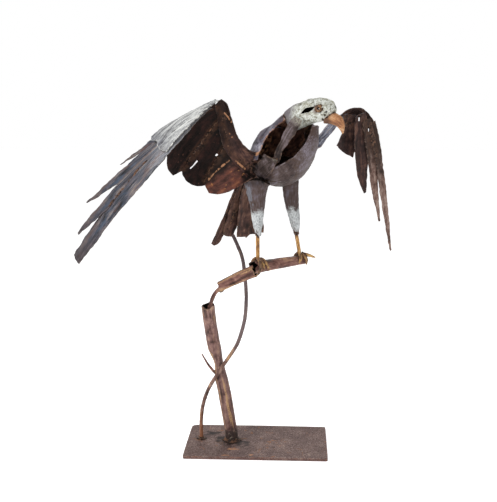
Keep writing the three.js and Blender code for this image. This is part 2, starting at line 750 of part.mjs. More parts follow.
const cupTears = [
  tear(bird(-36, -83.5, 99.8), slit, inFront, 15 * UNIT, 1.8 * UNIT),
  tear(bird(-24, -63.4, 109.3), slit, inFront, 4 * UNIT, 3 * UNIT),
];
const LOBES = [
  { name: 'inner', from: 0.02, to: 0.44, round: 0.14, layer: -0.2, finish: ORANGE_RUST },
  { name: 'middle', from: 0.4, to: 0.74, round: 0.12, layer: 1, finish: DARK_RUST },
  { name: 'outer', from: 0.7, to: 1, round: 0.14, layer: 2, finish: DARK_RUST },
];
LOBES.forEach(({ name, from, to, round, layer, finish }, i) => {
  const form = { face: CUP_FACE, along: 6, across: 4, seed: i + 4, layer, torn: { end: 0.1 } };
  add(`right_secondary_${name}`, panel(lobe(from, to, round), form), finish, cupTears);
});

// Hand of the right wing: one covert sheet over four long primaries
const handLead = birdCurve([
  [-1, -75.5, 161.5],
  [-0.4, -82, 158],
  [0, -92, 151.5],
  [-3.2, -111.9, 134.6],
  [-14, -133, 108],
]);
const handTrail = birdCurve([
  [-6, -76, 160],
  [-18, -86, 153.5],
  [-32, -97, 146],
  [-46, -110, 135],
  [-58, -122, 122.5],
]);
const HAND_FACE = towards(0.14, -0.83, 0.53).normalize();
const coverts = between(handLead, handTrail, HAND_FACE, run([2 * UNIT, 3 * UNIT, 3 * UNIT, 2 * UNIT]));
const PRIMARY_CURL = 0.9;
const FRAYED = { left: 0.08, right: 0.08 };
const RIGHT_PRIMARIES = [
  {
    line: [[-3, -92.5, 153], [-17.5, -128.5, 116], [-45, -162, 71], [-82, -194.5, 7]],
    half: [3, 7, 10.5, 11.5, 8.5],
  },
  {
    line: [[-6, -87.3, 156], [-28, -127, 118], [-50, -158.5, 81], [-84.6, -190.3, 32.2]],
    half: [4, 8.5, 11, 9.6, 2.2],
  },
  {
    line: [[-9, -83, 158], [-37, -121, 124], [-58, -149, 96], [-90.3, -177.6, 61.9]],
    half: [4, 8.5, 10.8, 7.5, 1.6],
  },
  {
    line: [[-12, -78.6, 159], [-36, -99, 145.5], [-57, -121, 123.5], [-81.6, -144, 100.2]],
    half: [4, 7.5, 8, 5, 1.3],
  },
];
const covertForm = { face: HAND_FACE, along: 7, across: 5, seed: 2, layer: 1.4, torn: { end: 0.08 } };
add('right_coverts', panel(coverts, covertForm), WHITE);
RIGHT_PRIMARIES.forEach(({ line, half }, i) => {
  const width = run(half.map((w) => w * UNIT));
  const form = { face: HAND_FACE, along: 7, across: 2, seed: i + 2, layer: -i, torn: FRAYED };
  const surface = feather(birdCurve(line), width, HAND_FACE, PRIMARY_CURL);
  add(`right_primary_${i + 1}`, panel(surface, form), BLUE_STEEL);
});

// Left wing: a rolled arm bar, then an arch of coverts over four hanging primaries
const leftArmLine = birdCurve([
  [-3, 15, 108],
  [0, 28, 112.5],
  [5, 41, 117],
  [4, 54, 127],
  [2.4, 69, 139],
  [1, 82, 147],
  [0, 94, 150],
]);
const armHalf = run([5.4, 5.4, 5.4, 5.2, 4.8, 4.2, 3].map((w) => w * UNIT));
const barFace = towards(0.4, -0.5, 0.75).normalize();
const armBar = feather(leftArmLine, armHalf, barFace, 2.6);

const leftFace = towards(-0.85, -0.1, 0.5).normalize();
const leftLead = birdCurve([
  [3, 80, 144.5],
  [3, 91, 151],
  [4.5, 103, 155],
  [5, 118, 150.5],
  [4, 130, 140],
  [0, 138, 122],
]);
const leftTrail = birdCurve([
  [0, 84, 133],
  [-1, 94, 136],
  [-2, 104, 137],
  [-3, 116, 131],
  [-4, 127, 121],
  [-6, 136, 108],
]);
const arch = between(leftLead, leftTrail, leftFace, run([3 * UNIT, 4 * UNIT, 3 * UNIT]));
const archTears = [
  tear(bird(1, 92, 146), UP, inFront, 2.4 * UNIT, 4 * UNIT),
  tear(bird(1, 110.6, 143.4), UP, inFront, 7.5 * UNIT, 3.4 * UNIT),
  tear(bird(0, 126, 131), UP, inFront, 6.6 * UNIT, 2.8 * UNIT),
];
add('left_wing_arm', panel(armBar, { face: barFace, along: 8, across: 3, seed: 3 }), BLUE_STEEL, archTears);
const archForm = { face: leftFace, along: 6, across: 2, seed: 7, layer: 1, torn: { right: 0.15 } };
add('left_coverts', panel(arch, archForm), RUST, archTears);
const LEFT_PRIMARIES = [
  {
    line: [[3.5, 127, 140], [-3.5, 144.5, 103], [-18, 170, 49.5], [-34.3, 199.8, -13.6]],
    half: [4.5, 5.4, 4.6, 4, 1],
  },
  {
    line: [[4, 117, 143], [-5, 133.5, 109], [-17, 152, 68], [-30, 174.2, 23.7]],
    half: [6.5, 7.6, 6.6, 4.8, 1.3],
  },
  {
    line: [[3, 107, 149], [-6.5, 118, 116], [-16, 129.5, 86], [-23.7, 142.9, 60.6]],
    half: [9, 11.5, 10.5, 7.6, 2.8],
  },
];
LEFT_PRIMARIES.forEach(({ line, half }, i) => {
  const width = run(half.map((w) => w * UNIT));
  const form = { face: leftFace, along: 6, across: 2, seed: i + 5, layer: -i, torn: FRAYED };
  const surface = feather(birdCurve(line), width, leftFace, PRIMARY_CURL);
  add(`left_primary_${i + 1}`, panel(surface, form), RUST, archTears);
});

// The innermost of them is a broad sheet with a slanting end
const broadLead = birdCurve([[3, 82, 149], [-6, 90, 134], [-14, 86.5, 114]]);
const broadTrail = birdCurve([[2, 106, 149], [-12, 120, 121], [-22, 121, 99.7]]);
const broad = between(broadLead, broadTrail, leftFace, run([3 * UNIT, 5 * UNIT, 3 * UNIT]));
const broadForm = { face: leftFace, along: 5, across: 2, seed: 8, layer: -3, torn: { end: 0.08 } };
add('left_primary_4', panel(broad, broadForm), RUST, archTears);

const innerLine = birdCurve([[4, 27, 100], [-18, 38, 99], [-40, 45, 92]]);
const innerHalf = run([10, 13, 12, 8].map((w) => w * UNIT));
const innerLobe = feather(innerLine, innerHalf, towards(0, 0.3, 0.95).normalize(), 0.8);
const innerForm = { face: UP, along: 5, across: 4, seed: 8, torn: { end: 0.06 } };
add('left_secondary', panel(innerLobe, innerForm), RUST);

// Tail: five long feathers that fan out and hang from the rump
const TAIL = [
  { line: [[-34, -8, 100], [-48.5, -8.5, 74], [-60, -14, 45], [-76, -28, 2]], half: [6, 7, 6, 4, 1.5] },
  { line: [[-35, -4, 100], [-52, -5, 73], [-63, -8.5, 44], [-73, -14, 13]], half: [7, 8, 8.5, 8, 6] },
  { line: [[-36, 0, 100], [-53.5, 0.8, 72], [-62, 1, 44], [-69, 1.5, 13.2]], half: [7, 8.5, 9, 9, 7] },
  { line: [[-35, 4, 100], [-53, 6, 72], [-63, 9.5, 43], [-67.5, 15.5, 13]], half: [7, 8, 8.5, 8, 6] },
  { line: [[-34, 8, 100], [-51, 11, 73], [-60, 18, 43], [-65, 28, 14]], half: [7, 8, 7.5, 6, 3] },
];
const tailFace = towards(-0.9, 0, 0.3).normalize();
TAIL.forEach(({ line, half }, i) => {
  const width = run(half.map((w) => w * UNIT));
  const surface = feather(birdCurve(line), width, tailFace, 0.8);
  const layer = 2.6 * Math.abs(i - 2);
  const form = { face: tailFace, along: 4, across: 2, seed: i + 1, layer, torn: { end: 0.05 } };
  add(`tail_feather_${i + 1}`, panel(surface, form), RUST);
});

export default sculpture;
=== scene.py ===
import math

import bpy
import numpy as np
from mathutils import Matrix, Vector
from mathutils.bvhtree import BVHTree
from mathutils.kdtree import KDTree


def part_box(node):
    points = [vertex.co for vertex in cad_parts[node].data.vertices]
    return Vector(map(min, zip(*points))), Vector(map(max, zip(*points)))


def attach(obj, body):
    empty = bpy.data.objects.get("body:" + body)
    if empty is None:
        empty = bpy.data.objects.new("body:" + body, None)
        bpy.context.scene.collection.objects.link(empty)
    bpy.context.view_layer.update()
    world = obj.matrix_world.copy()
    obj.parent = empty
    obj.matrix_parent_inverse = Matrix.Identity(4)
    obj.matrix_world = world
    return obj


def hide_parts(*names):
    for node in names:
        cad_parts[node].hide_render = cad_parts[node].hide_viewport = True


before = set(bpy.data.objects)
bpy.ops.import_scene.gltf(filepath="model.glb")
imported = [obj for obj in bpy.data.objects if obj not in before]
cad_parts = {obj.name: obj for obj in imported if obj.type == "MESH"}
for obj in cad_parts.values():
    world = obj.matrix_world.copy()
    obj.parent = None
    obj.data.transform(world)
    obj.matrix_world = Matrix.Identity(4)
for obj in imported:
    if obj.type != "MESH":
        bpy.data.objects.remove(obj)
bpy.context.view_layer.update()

MM = 0.001
SEED = 7

# The photograph's frame and its camera
PHOTO_SIZE = (497, 502)
FOCAL_PIXELS = 959.7
CAMERA_PLACE = np.array([86.87, -2024.75, 728.09]) * MM
CAMERA_YAW = -0.052088
CAMERA_PITCH = 0.146899

# The bird's own directions: it faces 50 degrees to the right of the stand's long side
HEADING = math.radians(-50)
FORWARD = np.array([math.cos(HEADING), math.sin(HEADING), 0])
LEFT = np.array([-math.sin(HEADING), math.cos(HEADING), 0])
UP = np.array([0, 0, 1.0])
PERCH = np.array([47.5, -35.1, 419.4]) * MM
BIRD_UNIT = 2 * MM

# Corners closer than this are one
SAME_PLACE = 0.002 * MM

# Longest mesh edges: most pieces, the small ones and the flat plate
FINE_EDGE = 3.2 * MM
SMALL_EDGE = 2.0 * MM
PLATE_EDGE = 12 * MM
MOST_SPLITS = 9

# Rims and weld seams
RIM_REACH = 6 * MM
RIM_SHARP = 50
RIM_ROUNDS = 6
WELD_REACH = 9 * MM
SEAM_GAP = 0.8 * MM
BEAD_PITCH = 3.4 * MM
BEAD_RADIUS = 2.3 * MM
BEAD_VARIES = 0.35
BEAD_LUMP = 5 * MM
BEAD_RUN = 22 * MM
BEAD_GAPS = -0.25
BEAD_VOXEL = 1.1 * MM
NEVER_SHARP = 180
HIDDEN_LAP = {"back_plate", "left_side_plate"}


# Numbers and directions

def unit(v):
    v = np.asarray(v, dtype=float)
    return v / np.linalg.norm(v)


def unit_rows(rows):
    return rows / np.maximum(np.linalg.norm(rows, axis=1, keepdims=True), 1e-15)


def towards(f, l, u):
    """A direction given forward, left and up from the bird."""
    return unit(f * FORWARD + l * LEFT + u * UP)


def bird(f, l, u):
    """A place forward, left and up of the perch between the feet, in per cent of the body's length."""
    return PERCH + BIRD_UNIT * (f * FORWARD + l * LEFT + u * UP)


def smooth_step(low, high, x):
    t = np.clip((x - low) / (high - low), 0, 1)
    return t * t * (3 - 2 * t)


def lattice(cell, seed):
    """A repeatable number between -1 and 1 for each whole-number cell."""
    c = cell.astype(np.int64).astype(np.uint64)
    h = c[:, 0] * np.uint64(374761393) + c[:, 1] * np.uint64(668265263) + c[:, 2] * np.uint64(2246822519)
    h = (h + np.uint64(seed * 3266489917)) & np.uint64(0xFFFFFFFF)
    h = ((h ^ (h >> np.uint64(15))) * np.uint64(2246822519)) & np.uint64(0xFFFFFFFF)
    h = ((h ^ (h >> np.uint64(13))) * np.uint64(3266489917)) & np.uint64(0xFFFFFFFF)
    return (h ^ (h >> np.uint64(16))).astype(float) / 0x7FFFFFFF - 1


def noise(points, size, seed):
    """Smooth noise between about -1 and 1 whose lumps are about that size."""
    p = points / size + 1000.0
    base = np.floor(p)
    f = p - base
    f = f * f * (3 - 2 * f)
    total = np.zeros(len(p))
    for corner in np.ndindex(2, 2, 2):
        weight = np.prod(np.where(corner, f, 1 - f), axis=1)
        total += weight * lattice(base + corner, seed)
    return total


def noise_vectors(points, size, seed):
    return np.stack([noise(points, size, seed + k) for k in range(3)], axis=1)


# Refining the faceted solids

def face_normals(points, faces):
    a, b, c = (points[faces[:, k]] for k in range(3))
    return np.cross(b - a, c - a)


def corner_normals(points, faces, sharp_cos):
    """A normal for each corner of each face, shared across every edge that isn't sharp."""
    area = face_normals(points, faces)
    flat = unit_rows(area)
    corner_vertex = faces.ravel()
    order = np.argsort(corner_vertex, kind="stable")
    vertex = corner_vertex[order]
    count = np.bincount(vertex, minlength=len(points))
    start = np.concatenate([[0], np.cumsum(count)[:-1]])
    reps = count[vertex]
    first = np.repeat(np.arange(len(vertex)), reps)
    offset = np.arange(len(first)) - np.repeat(np.cumsum(reps) - reps, reps)
    second = start[vertex[first]] + offset
    face_a, face_b = order[first] // 3, order[second] // 3
    joined = np.einsum("ij,ij->i", flat[face_a], flat[face_b]) > sharp_cos
    total = np.zeros((len(vertex), 3))
    for k in range(3):
        total[:, k] = np.bincount(first, weights=area[face_b, k] * joined, minlength=len(vertex))
    result = np.empty_like(total)
    result[order] = unit_rows(total)
    return result.reshape(-1, 3, 3)


def edges_of(points, faces):
    """Unique edges, and the edge of each face's side."""
    sides = faces[:, [[0, 1], [1, 2], [2, 0]]].reshape(-1, 2)
    key = np.sort(sides, axis=1)
    whole = key[:, 0] * len(points) + key[:, 1]
    _, first, side_edge = np.unique(whole, return_index=True, return_inverse=True)
    return key[first], side_edge.reshape(-1, 3)


def edge_cosines(points, faces, edges, side_edge):
    """The cosine of the turn between the two faces at each edge."""
    flat = unit_rows(face_normals(points, faces))
    both = np.zeros((len(edges), 3))
    for k in range(3):
        np.add.at(both, side_edge[:, k], flat)
    return np.einsum("ij,ij->i", both, both) / 2 - 1


def bent_middles(points, faces, edges, side_edge, sharp_cos):
    """The middle of each edge, moved out so that smooth surfaces and outlines stay round."""
    normals = corner_normals(points, faces, sharp_cos)
    shift = np.zeros((len(edges), 3))
    for k in range(3):
        a, b = points[faces[:, k]], points[faces[:, (k + 1) % 3]]
        na, nb = normals[:, k], normals[:, (k + 1) % 3]
        lean_a = np.einsum("ij,ij->i", b - a, na)[:, None] * na
        lean_b = np.einsum("ij,ij->i", a - b, nb)[:, None] * nb
        np.add.at(shift, side_edge[:, k], -(lean_a + lean_b) / 8)
    share = np.where(edge_cosines(points, faces, edges, side_edge) > sharp_cos, 0.5, 1.0)[:, None]
    return points[edges].mean(axis=1) + shift * share


def split_faces(points, faces, middle, side_edge):
    """Splits each face at the middles that its sides have."""
    split = middle[side_edge]
    count = (split >= 0).sum(axis=1)
    parts = [faces[count == 0]]
    whole = count == 3
    (a, b, c), (ab, bc, ca) = faces[whole].T, split[whole].T
    parts += [np.stack(t, axis=1) for t in ((a, ab, ca), (ab, b, bc), (ca, bc, c), (ab, bc, ca))]
    for turn in range(3):
        turned, turned_split = np.roll(faces, -turn, axis=1), np.roll(split, -turn, axis=1)
        one = (count == 1) & (turned_split[:, 0] >= 0)
        (a, b, c), ab = turned[one].T, turned_split[one, 0]
        parts += [np.stack(t, axis=1) for t in ((a, ab, c), (ab, b, c))]
        two = (count == 2) & (turned_split[:, 2] < 0)
        (a, b, c), (ab, bc) = turned[two].T, turned_split[two, :2].T
        parts.append(np.stack((ab, b, bc), axis=1))
        near = np.linalg.norm(points[a] - points[bc], axis=1) < np.linalg.norm(points[ab] - points[c], axis=1)
        parts.append(np.where(near[:, None], np.stack((a, ab, bc), axis=1), np.stack((a, ab, c), axis=1)))
        parts.append(np.where(near[:, None], np.stack((a, bc, c), axis=1), np.stack((ab, bc, c), axis=1)))
    return np.concatenate(parts)


def refined(points, faces, limit, sharp_degrees):
    """The same closed surface with rounded facets and no edge longer than the limit."""
    sharp_cos = math.cos(math.radians(sharp_degrees))
    for _ in range(MOST_SPLITS):
        edges, side_edge = edges_of(points, faces)
        length = np.linalg.norm(points[edges[:, 0]] - points[edges[:, 1]], axis=1)
        long = length > limit
        if not long.any():
            break
        middles = bent_middles(points, faces, edges, side_edge, sharp_cos)
        middle = np.full(len(edges), -1)
        middle[long] = len(points) + np.arange(long.sum())
        points = np.concatenate([points, middles[long]])
        faces = split_faces(points, faces, middle, side_edge)
    return points, faces


# Measures along a surface

BODY_MIDDLE = bird(0, 0, 105)


def vertex_normals(points, faces):
    area = face_normals(points, faces)
    total = np.zeros_like(points)
    for k in range(3):
        np.add.at(total, faces[:, k], area)
    return unit_rows(total)


def rim_nearness(points, faces):
    """1 on the sharp rims of a sheet, falling to 0 a few millimetres in."""
    edges, side_edge = edges_of(points, faces)
    sharp = edge_cosines(points, faces, edges, side_edge) < math.cos(math.radians(RIM_SHARP))
    far = np.full(len(points), 1.0)
    far[edges[sharp].ravel()] = 0
    a, b = edges.T
    length = np.linalg.norm(points[a] - points[b], axis=1)
    for _ in range(RIM_ROUNDS):
        np.minimum.at(far, a, far[b] + length)
        np.minimum.at(far, b, far[a] + length)
    return np.clip(1 - far / RIM_REACH, 0, 1)


def reach_along(points):
    """0 at the end of a piece nearest the middle of the body, 1 at its far end."""
    far = np.linalg.norm(points - BODY_MIDDLE, axis=1)
    return (far - far.min()) / (far.max() - far.min())


def own_axes(points):
    """The middle of a piece and its long, broad and thin directions."""
    middle = points.mean(axis=0)
    _, _, axes = np.linalg.svd(points - middle, full_matrices=False)
    return middle, axes


# Which way each piece's outside looks

HAND_FACE = towards(0.14, -0.83, 0.53)
CUP_FACE = towards(-0.5, 0.7, 0.55)
LEFT_FACE = towards(-0.85, -0.1, 0.5)
TAIL_FACE = towards(-0.9, 0, 0.3)
SHEET_FACES = {
    "right_primary": HAND_FACE, "right_coverts": HAND_FACE, "right_wing_arm": CUP_FACE,
    "right_secondary": CUP_FACE, "left_primary": LEFT_FACE, "left_coverts": LEFT_FACE,
    "left_wing_arm": towards(0.4, -0.5, 0.75), "left_secondary": UP, "tail_feather": TAIL_FACE,
}
TRUNK_PLATES = ("back_plate", "breast_plate", "right_flank_plate", "left_flank_plate", "right_neck_strip",
                "left_side_plate")
TRUNK_LINE = np.array([bird(-42, 0, 99), bird(-21, 0, 102), bird(0, 0, 105.5), bird(18.5, 0, 118.5),
                       bird(30, 1, 133), bird(37.3, 4, 147), bird(44, 8, 160)])
HOLLOW = ("post", "branch", "bend_strap", "thigh", "head")
SHEET_TURN = 0.15
HOLLOW_TURN = 0.2


def from_line(points, line):
    """The way from the nearest place on a line of short stretches to each point."""
    best = np.full(len(points), np.inf)
    away = np.zeros_like(points)
    for a, b in zip(line[:-1], line[1:]):
        share = np.clip((points - a) @ (b - a) / ((b - a) @ (b - a)), 0, 1)
        step = points - (a + share[:, None] * (b - a))
        size = np.linalg.norm(step, axis=1)
        near = size < best
        best[near], away[near] = size[near], step[near]
    return unit_rows(away)


def outside(name, points, normals):
    """1 where a surface is the outside of its piece, 0 where it is the inside."""
    face = next((f for start, f in SHEET_FACES.items() if name.startswith(start)), None)
    if face is not None:
        return smooth_step(-SHEET_TURN, SHEET_TURN, normals @ face)
    line = TRUNK_LINE
    if name not in TRUNK_PLATES:
        if not any(key in name for key in HOLLOW) or "weld" in name or "peeled" in name:
            return np.ones(len(points))
        middle, axes = own_axes(points)
        line = np.array([middle - axes[0], middle + axes[0]])
    return smooth_step(-HOLLOW_TURN, HOLLOW_TURN, np.einsum("ij,ij->i", normals, from_line(points, line)))


# The photograph's view

def camera_axes():
    """The directions ahead, right and up of the camera."""
    level = np.array([math.sin(CAMERA_YAW), math.cos(CAMERA_YAW), 0])
    ahead = math.cos(CAMERA_PITCH) * level - math.sin(CAMERA_PITCH) * UP
    right = np.array([math.cos(CAMERA_YAW), -math.sin(CAMERA_YAW), 0])
    return ahead, right, np.cross(right, ahead)


def sight(u, v):
    """The direction from the camera through a pixel of the photograph."""
    ahead, right, up = camera_axes()
    x = (u - PHOTO_SIZE[0] / 2) / FOCAL_PIXELS
    y = (PHOTO_SIZE[1] / 2 - v) / FOCAL_PIXELS
    return unit(ahead + x * right + y * up)


def on_photo(points):
    """Pixels of the photograph at which points are seen."""
    ahead, right, up = camera_axes()
    away = points - CAMERA_PLACE
    depth = away @ ahead
    across = PHOTO_SIZE[0] / 2 + FOCAL_PIXELS * (away @ right) / depth
    down = PHOTO_SIZE[1] / 2 - FOCAL_PIXELS * (away @ up) / depth
    return np.stack([across, down], axis=1)


def make_camera():
    """A camera that sees the sculpture as the photograph does."""
    data = bpy.data.cameras.new("camera")
    data.sensor_width = 36
    data.lens = FOCAL_PIXELS / max(PHOTO_SIZE) * data.sensor_width
    camera = bpy.data.objects.new("camera", data)
    camera.location = CAMERA_PLACE
    camera.rotation_euler = (math.pi / 2 - CAMERA_PITCH, 0, -CAMERA_YAW)
    bpy.context.collection.objects.link(camera)
    bpy.context.scene.camera = camera


# Reading and writing meshes

def node_arrays(name):
    """A node's points and triangles, with shared corners merged."""
    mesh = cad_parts[name].data
    mesh.calc_loop_triangles()
    points = np.empty(3 * len(mesh.vertices))
    mesh.vertices.foreach_get("co", points)
    points = points.reshape(-1, 3)
    faces = np.empty(3 * len(mesh.loop_triangles), dtype=np.int64)
    mesh.loop_triangles.foreach_get("vertices", faces)
    cells = np.round(points / SAME_PLACE)
    _, first, same = np.unique(cells, axis=0, return_index=True, return_inverse=True)
    faces = same.ravel()[faces].reshape(-1, 3)
    solid = (faces[:, 0] != faces[:, 1]) & (faces[:, 1] != faces[:, 2]) & (faces[:, 2] != faces[:, 0])
    return points[first], faces[solid]


def make_mesh(name, points, faces, sharp_degrees, attributes=None):
    """A smooth-shaded object with a value or a vector per point for each attribute."""
    mesh = bpy.data.meshes.new(name)
    mesh.vertices.add(len(points))
    mesh.vertices.foreach_set("co", points.ravel())
    mesh.loops.add(3 * len(faces))
    mesh.loops.foreach_set("vertex_index", faces.ravel())
    mesh.polygons.add(len(faces))
    mesh.polygons.foreach_set("loop_start", np.arange(0, 3 * len(faces), 3))
    mesh.update(calc_edges=True)
    mesh.validate()
    mesh.polygons.foreach_set("use_smooth", np.ones(len(mesh.polygons), dtype=bool))
    mesh.set_sharp_from_angle(angle=math.radians(sharp_degrees))
    for key, values in (attributes or {}).items():
        kind, field = ("FLOAT", "value") if values.ndim == 1 else ("FLOAT_VECTOR", "vector")
        mesh.attributes.new(key, kind, "POINT").data.foreach_set(field, values.astype(np.float32).ravel())
    piece = bpy.data.objects.new(name, mesh)
    bpy.context.collection.objects.link(piece)
    return piece


# Weld seams

def seam_points(shapes):
    """Places where two pieces almost touch, thinned out to one per bead. A lap under a plate is left out."""
    found = []
    trees = {name: BVHTree.FromPolygons(p.tolist(), f.tolist()) for name, (p, f) in shapes.items()}
    low = {name: p.min(axis=0) - SEAM_GAP for name, (p, _) in shapes.items()}
    high = {name: p.max(axis=0) + SEAM_GAP for name, (p, _) in shapes.items()}
    names = list(shapes)
    for i, name in enumerate(names):
        points = shapes[name][0]
        for other in names[:i]:
            if {name, other} == HIDDEN_LAP:
                continue
            if (low[name] > high[other]).any() or (low[other] > high[name]).any():
                continue
            inside = ((points > low[other]) & (points < high[other])).all(axis=1)
            for p in points[inside]:
                if trees[other].find_nearest(p, SEAM_GAP)[0] is not None:
                    found.append(p)
    found = np.array(found)
    _, first = np.unique(np.round(found / BEAD_PITCH), axis=0, return_index=True)
    return found[np.sort(first)]


def weld_nearness(points, tree):
    """1 on a weld seam, falling to 0 a few millimetres off."""
    near = np.array([tree.find(p)[2] for p in points])
    return np.clip(1 - near / WELD_REACH, 0, 1)


# A ball of twenty triangles
ICO = (1 + 5 ** 0.5) / 2
BALL_POINTS = np.array([(-1, ICO, 0), (1, ICO, 0), (-1, -ICO, 0), (1, -ICO, 0), (0, -1, ICO), (0, 1, ICO),
                        (0, -1, -ICO), (0, 1, -ICO), (ICO, 0, -1), (ICO, 0, 1), (-ICO, 0, -1), (-ICO, 0, 1)])
BALL_FACES = np.array([(0, 11, 5), (0, 5, 1), (0, 1, 7), (0, 7, 10), (0, 10, 11), (1, 5, 9), (5, 11, 4),
                       (11, 10, 2), (10, 7, 6), (7, 1, 8), (3, 9, 4), (3, 4, 2), (3, 2, 6), (3, 6, 8),
                       (3, 8, 9), (4, 9, 5), (2, 4, 11), (6, 2, 10), (8, 6, 7), (9, 8, 1)])


def make_beads(seams):
    """Lumpy beads of weld metal along the seams, with short gaps between the runs."""
    kept = seams[noise(seams, BEAD_RUN, SEED) > BEAD_GAPS]
    size = BEAD_RADIUS * (1 + BEAD_VARIES * noise(kept, BEAD_LUMP, SEED + 1))
    ball = BALL_POINTS / np.linalg.norm(BALL_POINTS[0])
    points = (kept[:, None, :] + size[:, None, None] * ball[None]).reshape(-1, 3)
    faces = (len(ball) * np.arange(len(kept))[:, None, None] + BALL_FACES[None]).reshape(-1, 3)
    piece = make_mesh("weld_beads", points, faces, NEVER_SHARP)
    melt = piece.modifiers.new("melt", "REMESH")
    melt.mode = "VOXEL"
    melt.voxel_size = BEAD_VOXEL
    melt.use_smooth_shade = True
    even = piece.modifiers.new("even", "SMOOTH")
    even.iterations = 2
    bpy.context.view_layer.update()
    baked = bpy.data.meshes.new_from_object(piece.evaluated_get(bpy.context.evaluated_depsgraph_get()))
    piece.modifiers.clear()
    piece.data = baked
    return piece


# Materials

CONTRAST = 1.7      # how far noise in the materials is pulled apart
RAMP_SPREAD = 1.6   # the same for a value that picks a colour from a ramp
# The colour of painted shade in crevices and of dark smudges
SHADE_SMUDGE_COLOUR = "14100e"
TORN_EDGE = "b98764"


def colour(code):
    """A colour as the shader wants it, from its usual six-digit code."""
    parts = [int(code[i:i + 2], 16) / 255 for i in (0, 2, 4)]
    return [c / 12.92 if c <= 0.04045 else ((c + 0.055) / 1.055) ** 2.4 for c in parts] + [1]


class Paint:
    """A material whose nodes are added one at a time. A value is a socket, a number or a colour's code."""

    def __init__(self, name, metallic, sheen=0.2):
        self.material = bpy.data.materials.new(name)
        self.material.use_nodes = True
        self.nodes = self.material.node_tree.nodes
        self.links = self.material.node_tree.links
        self.shader = self.nodes["Principled BSDF"]
        self.shader.inputs["Metallic"].default_value = metallic
        self.shader.inputs["Specular IOR Level"].default_value = sheen

    def feed(self, socket, value):
        if isinstance(value, bpy.types.NodeSocket):
            self.links.new(value, socket)
        else:
            socket.default_value = colour(value) if isinstance(value, str) else value

    def node(self, kind, inputs, **settings):
        """A new node with its settings, and its inputs by name or number."""
        node = self.nodes.new(kind)
        for key, value in settings.items():
            setattr(node, key, value)
        for key, value in inputs.items():
            self.feed(node.inputs[key], value)
        return node

    def attribute(self, name, part="Fac"):
        return self.node("ShaderNodeAttribute", {}, attribute_name=name).outputs[part]

    def place(self):
        return self.node("ShaderNodeTexCoord", {}).outputs["Object"]

    def height(self):
        """Height above the floor in metres."""
        return self.node("ShaderNodeSeparateXYZ", {0: self.place()}).outputs["Z"]

    def spread(self, value, factor):
        """A value between 0 and 1, pulled apart from the middle."""
        inputs = {0: value, 1: factor, 2: 0.5 - 0.5 * factor}
        return self.node("ShaderNodeMath", inputs, operation="MULTIPLY_ADD", use_clamp=True).outputs[0]

    def noise(self, vector, scale, detail, rough, warp):
        inputs = {"Vector": vector, "Scale": scale, "Detail": detail, "Roughness": rough, "Distortion": warp}
        return self.spread(self.node("ShaderNodeTexNoise", inputs).outputs["Fac"], CONTRAST)

    def cloud(self, scale, detail=3.0, rough=0.55, warp=0.0):
        """Lumps of noise, so many to the metre."""
        return self.noise(self.place(), scale, detail, rough, warp)

    def streaks(self, along, across, detail, rough, warp=0.0):
        """Noise drawn out along the piece, with the length and width of a streak in metres."""
        inputs = {"Vector": self.attribute("grain", "Vector"), "Scale": (1 / along, 1 / across, 1 / across)}
        return self.noise(self.node("ShaderNodeMapping", inputs).outputs["Vector"], 1.0, detail, rough, warp)

    def ramp(self, value, stops):
        """Colours along a value, as (place, code)."""
        node = self.node("ShaderNodeValToRGB", {"Fac": self.spread(value, RAMP_SPREAD)})
        marks = node.color_ramp.elements
        while len(marks) < len(stops):
            marks.new(0.5)
        for mark, (place, code) in zip(marks, stops):
            mark.position = place
            mark.color = colour(code)
        return node.outputs["Color"]

    def step(self, value, low, high, start=0.0, end=1.0):
        """Goes smoothly from start to end while the value goes from low to high."""
        inputs = {"Value": value, "From Min": low, "From Max": high, "To Min": start, "To Max": end}
        return self.node("ShaderNodeMapRange", inputs, interpolation_type="SMOOTHSTEP").outputs["Result"]

    def maths(self, operation, a, b):
        return self.node("ShaderNodeMath", {0: a, 1: b}, operation=operation).outputs[0]

    def blend(self, *parts):
        """A weighted sum of values, as (value, share)."""
        total = self.maths("MULTIPLY", *parts[0])
        for part in parts[1:]:
            total = self.maths("ADD", total, self.maths("MULTIPLY", *part))
        return total

    def mix(self, share, base, top):
        return self.node("ShaderNodeMix", {0: share, 6: base, 7: top}, data_type="RGBA").outputs[2]

    def stain(self, base, top, value, low, high, start=0.0, end=1.0):
        """The base under another colour, whose share is a smooth step of the value."""
        return self.mix(self.step(value, low, high, start, end), base, top)

    def finish(self, base, rough, relief, strength, distance):
        """The finished material, with fine relief of a distance in metres."""
        bump = self.node("ShaderNodeBump", {"Strength": strength, "Distance": distance, "Height": relief})
        self.feed(self.shader.inputs["Base Color"], base)
        self.feed(self.shader.inputs["Roughness"], rough)
        self.feed(self.shader.inputs["Normal"], bump.outputs["Normal"])
        return self.material


def weather(paint, base, rim_code, weld_code, rim_share=0.6, weld_share=0.7):
    """Bare rims and burnt steel by the welds, both broken up by noise, then painted shade, dark smudges and
    bright torn edges.
    """
    patchy = paint.cloud(140, 4, 0.6)
    rim_patches = paint.step(patchy, 0.42, 0.7, 0, rim_share)
    weld_patches = paint.step(patchy, 0.25, 0.6, 0, weld_share)
    rim = paint.maths("MULTIPLY", paint.step(paint.attribute("rim"), 0.5, 0.95), rim_patches)
    weld = paint.maths("MULTIPLY", paint.step(paint.attribute("weld"), 0.15, 0.8), weld_patches)
    base = paint.mix(weld, paint.mix(rim, base, rim_code), weld_code)
    # Painted shade in the crevices at the wing's root, and dark smudges on the base plate
    base = paint.stain(base, SHADE_SMUDGE_COLOUR, paint.attribute("shade_and_smudge"), 0.1, 0.9, 0, 0.9)
    return paint.stain(base, TORN_EDGE, paint.attribute("bright"), 0.2, 0.8, 0, 0.9)


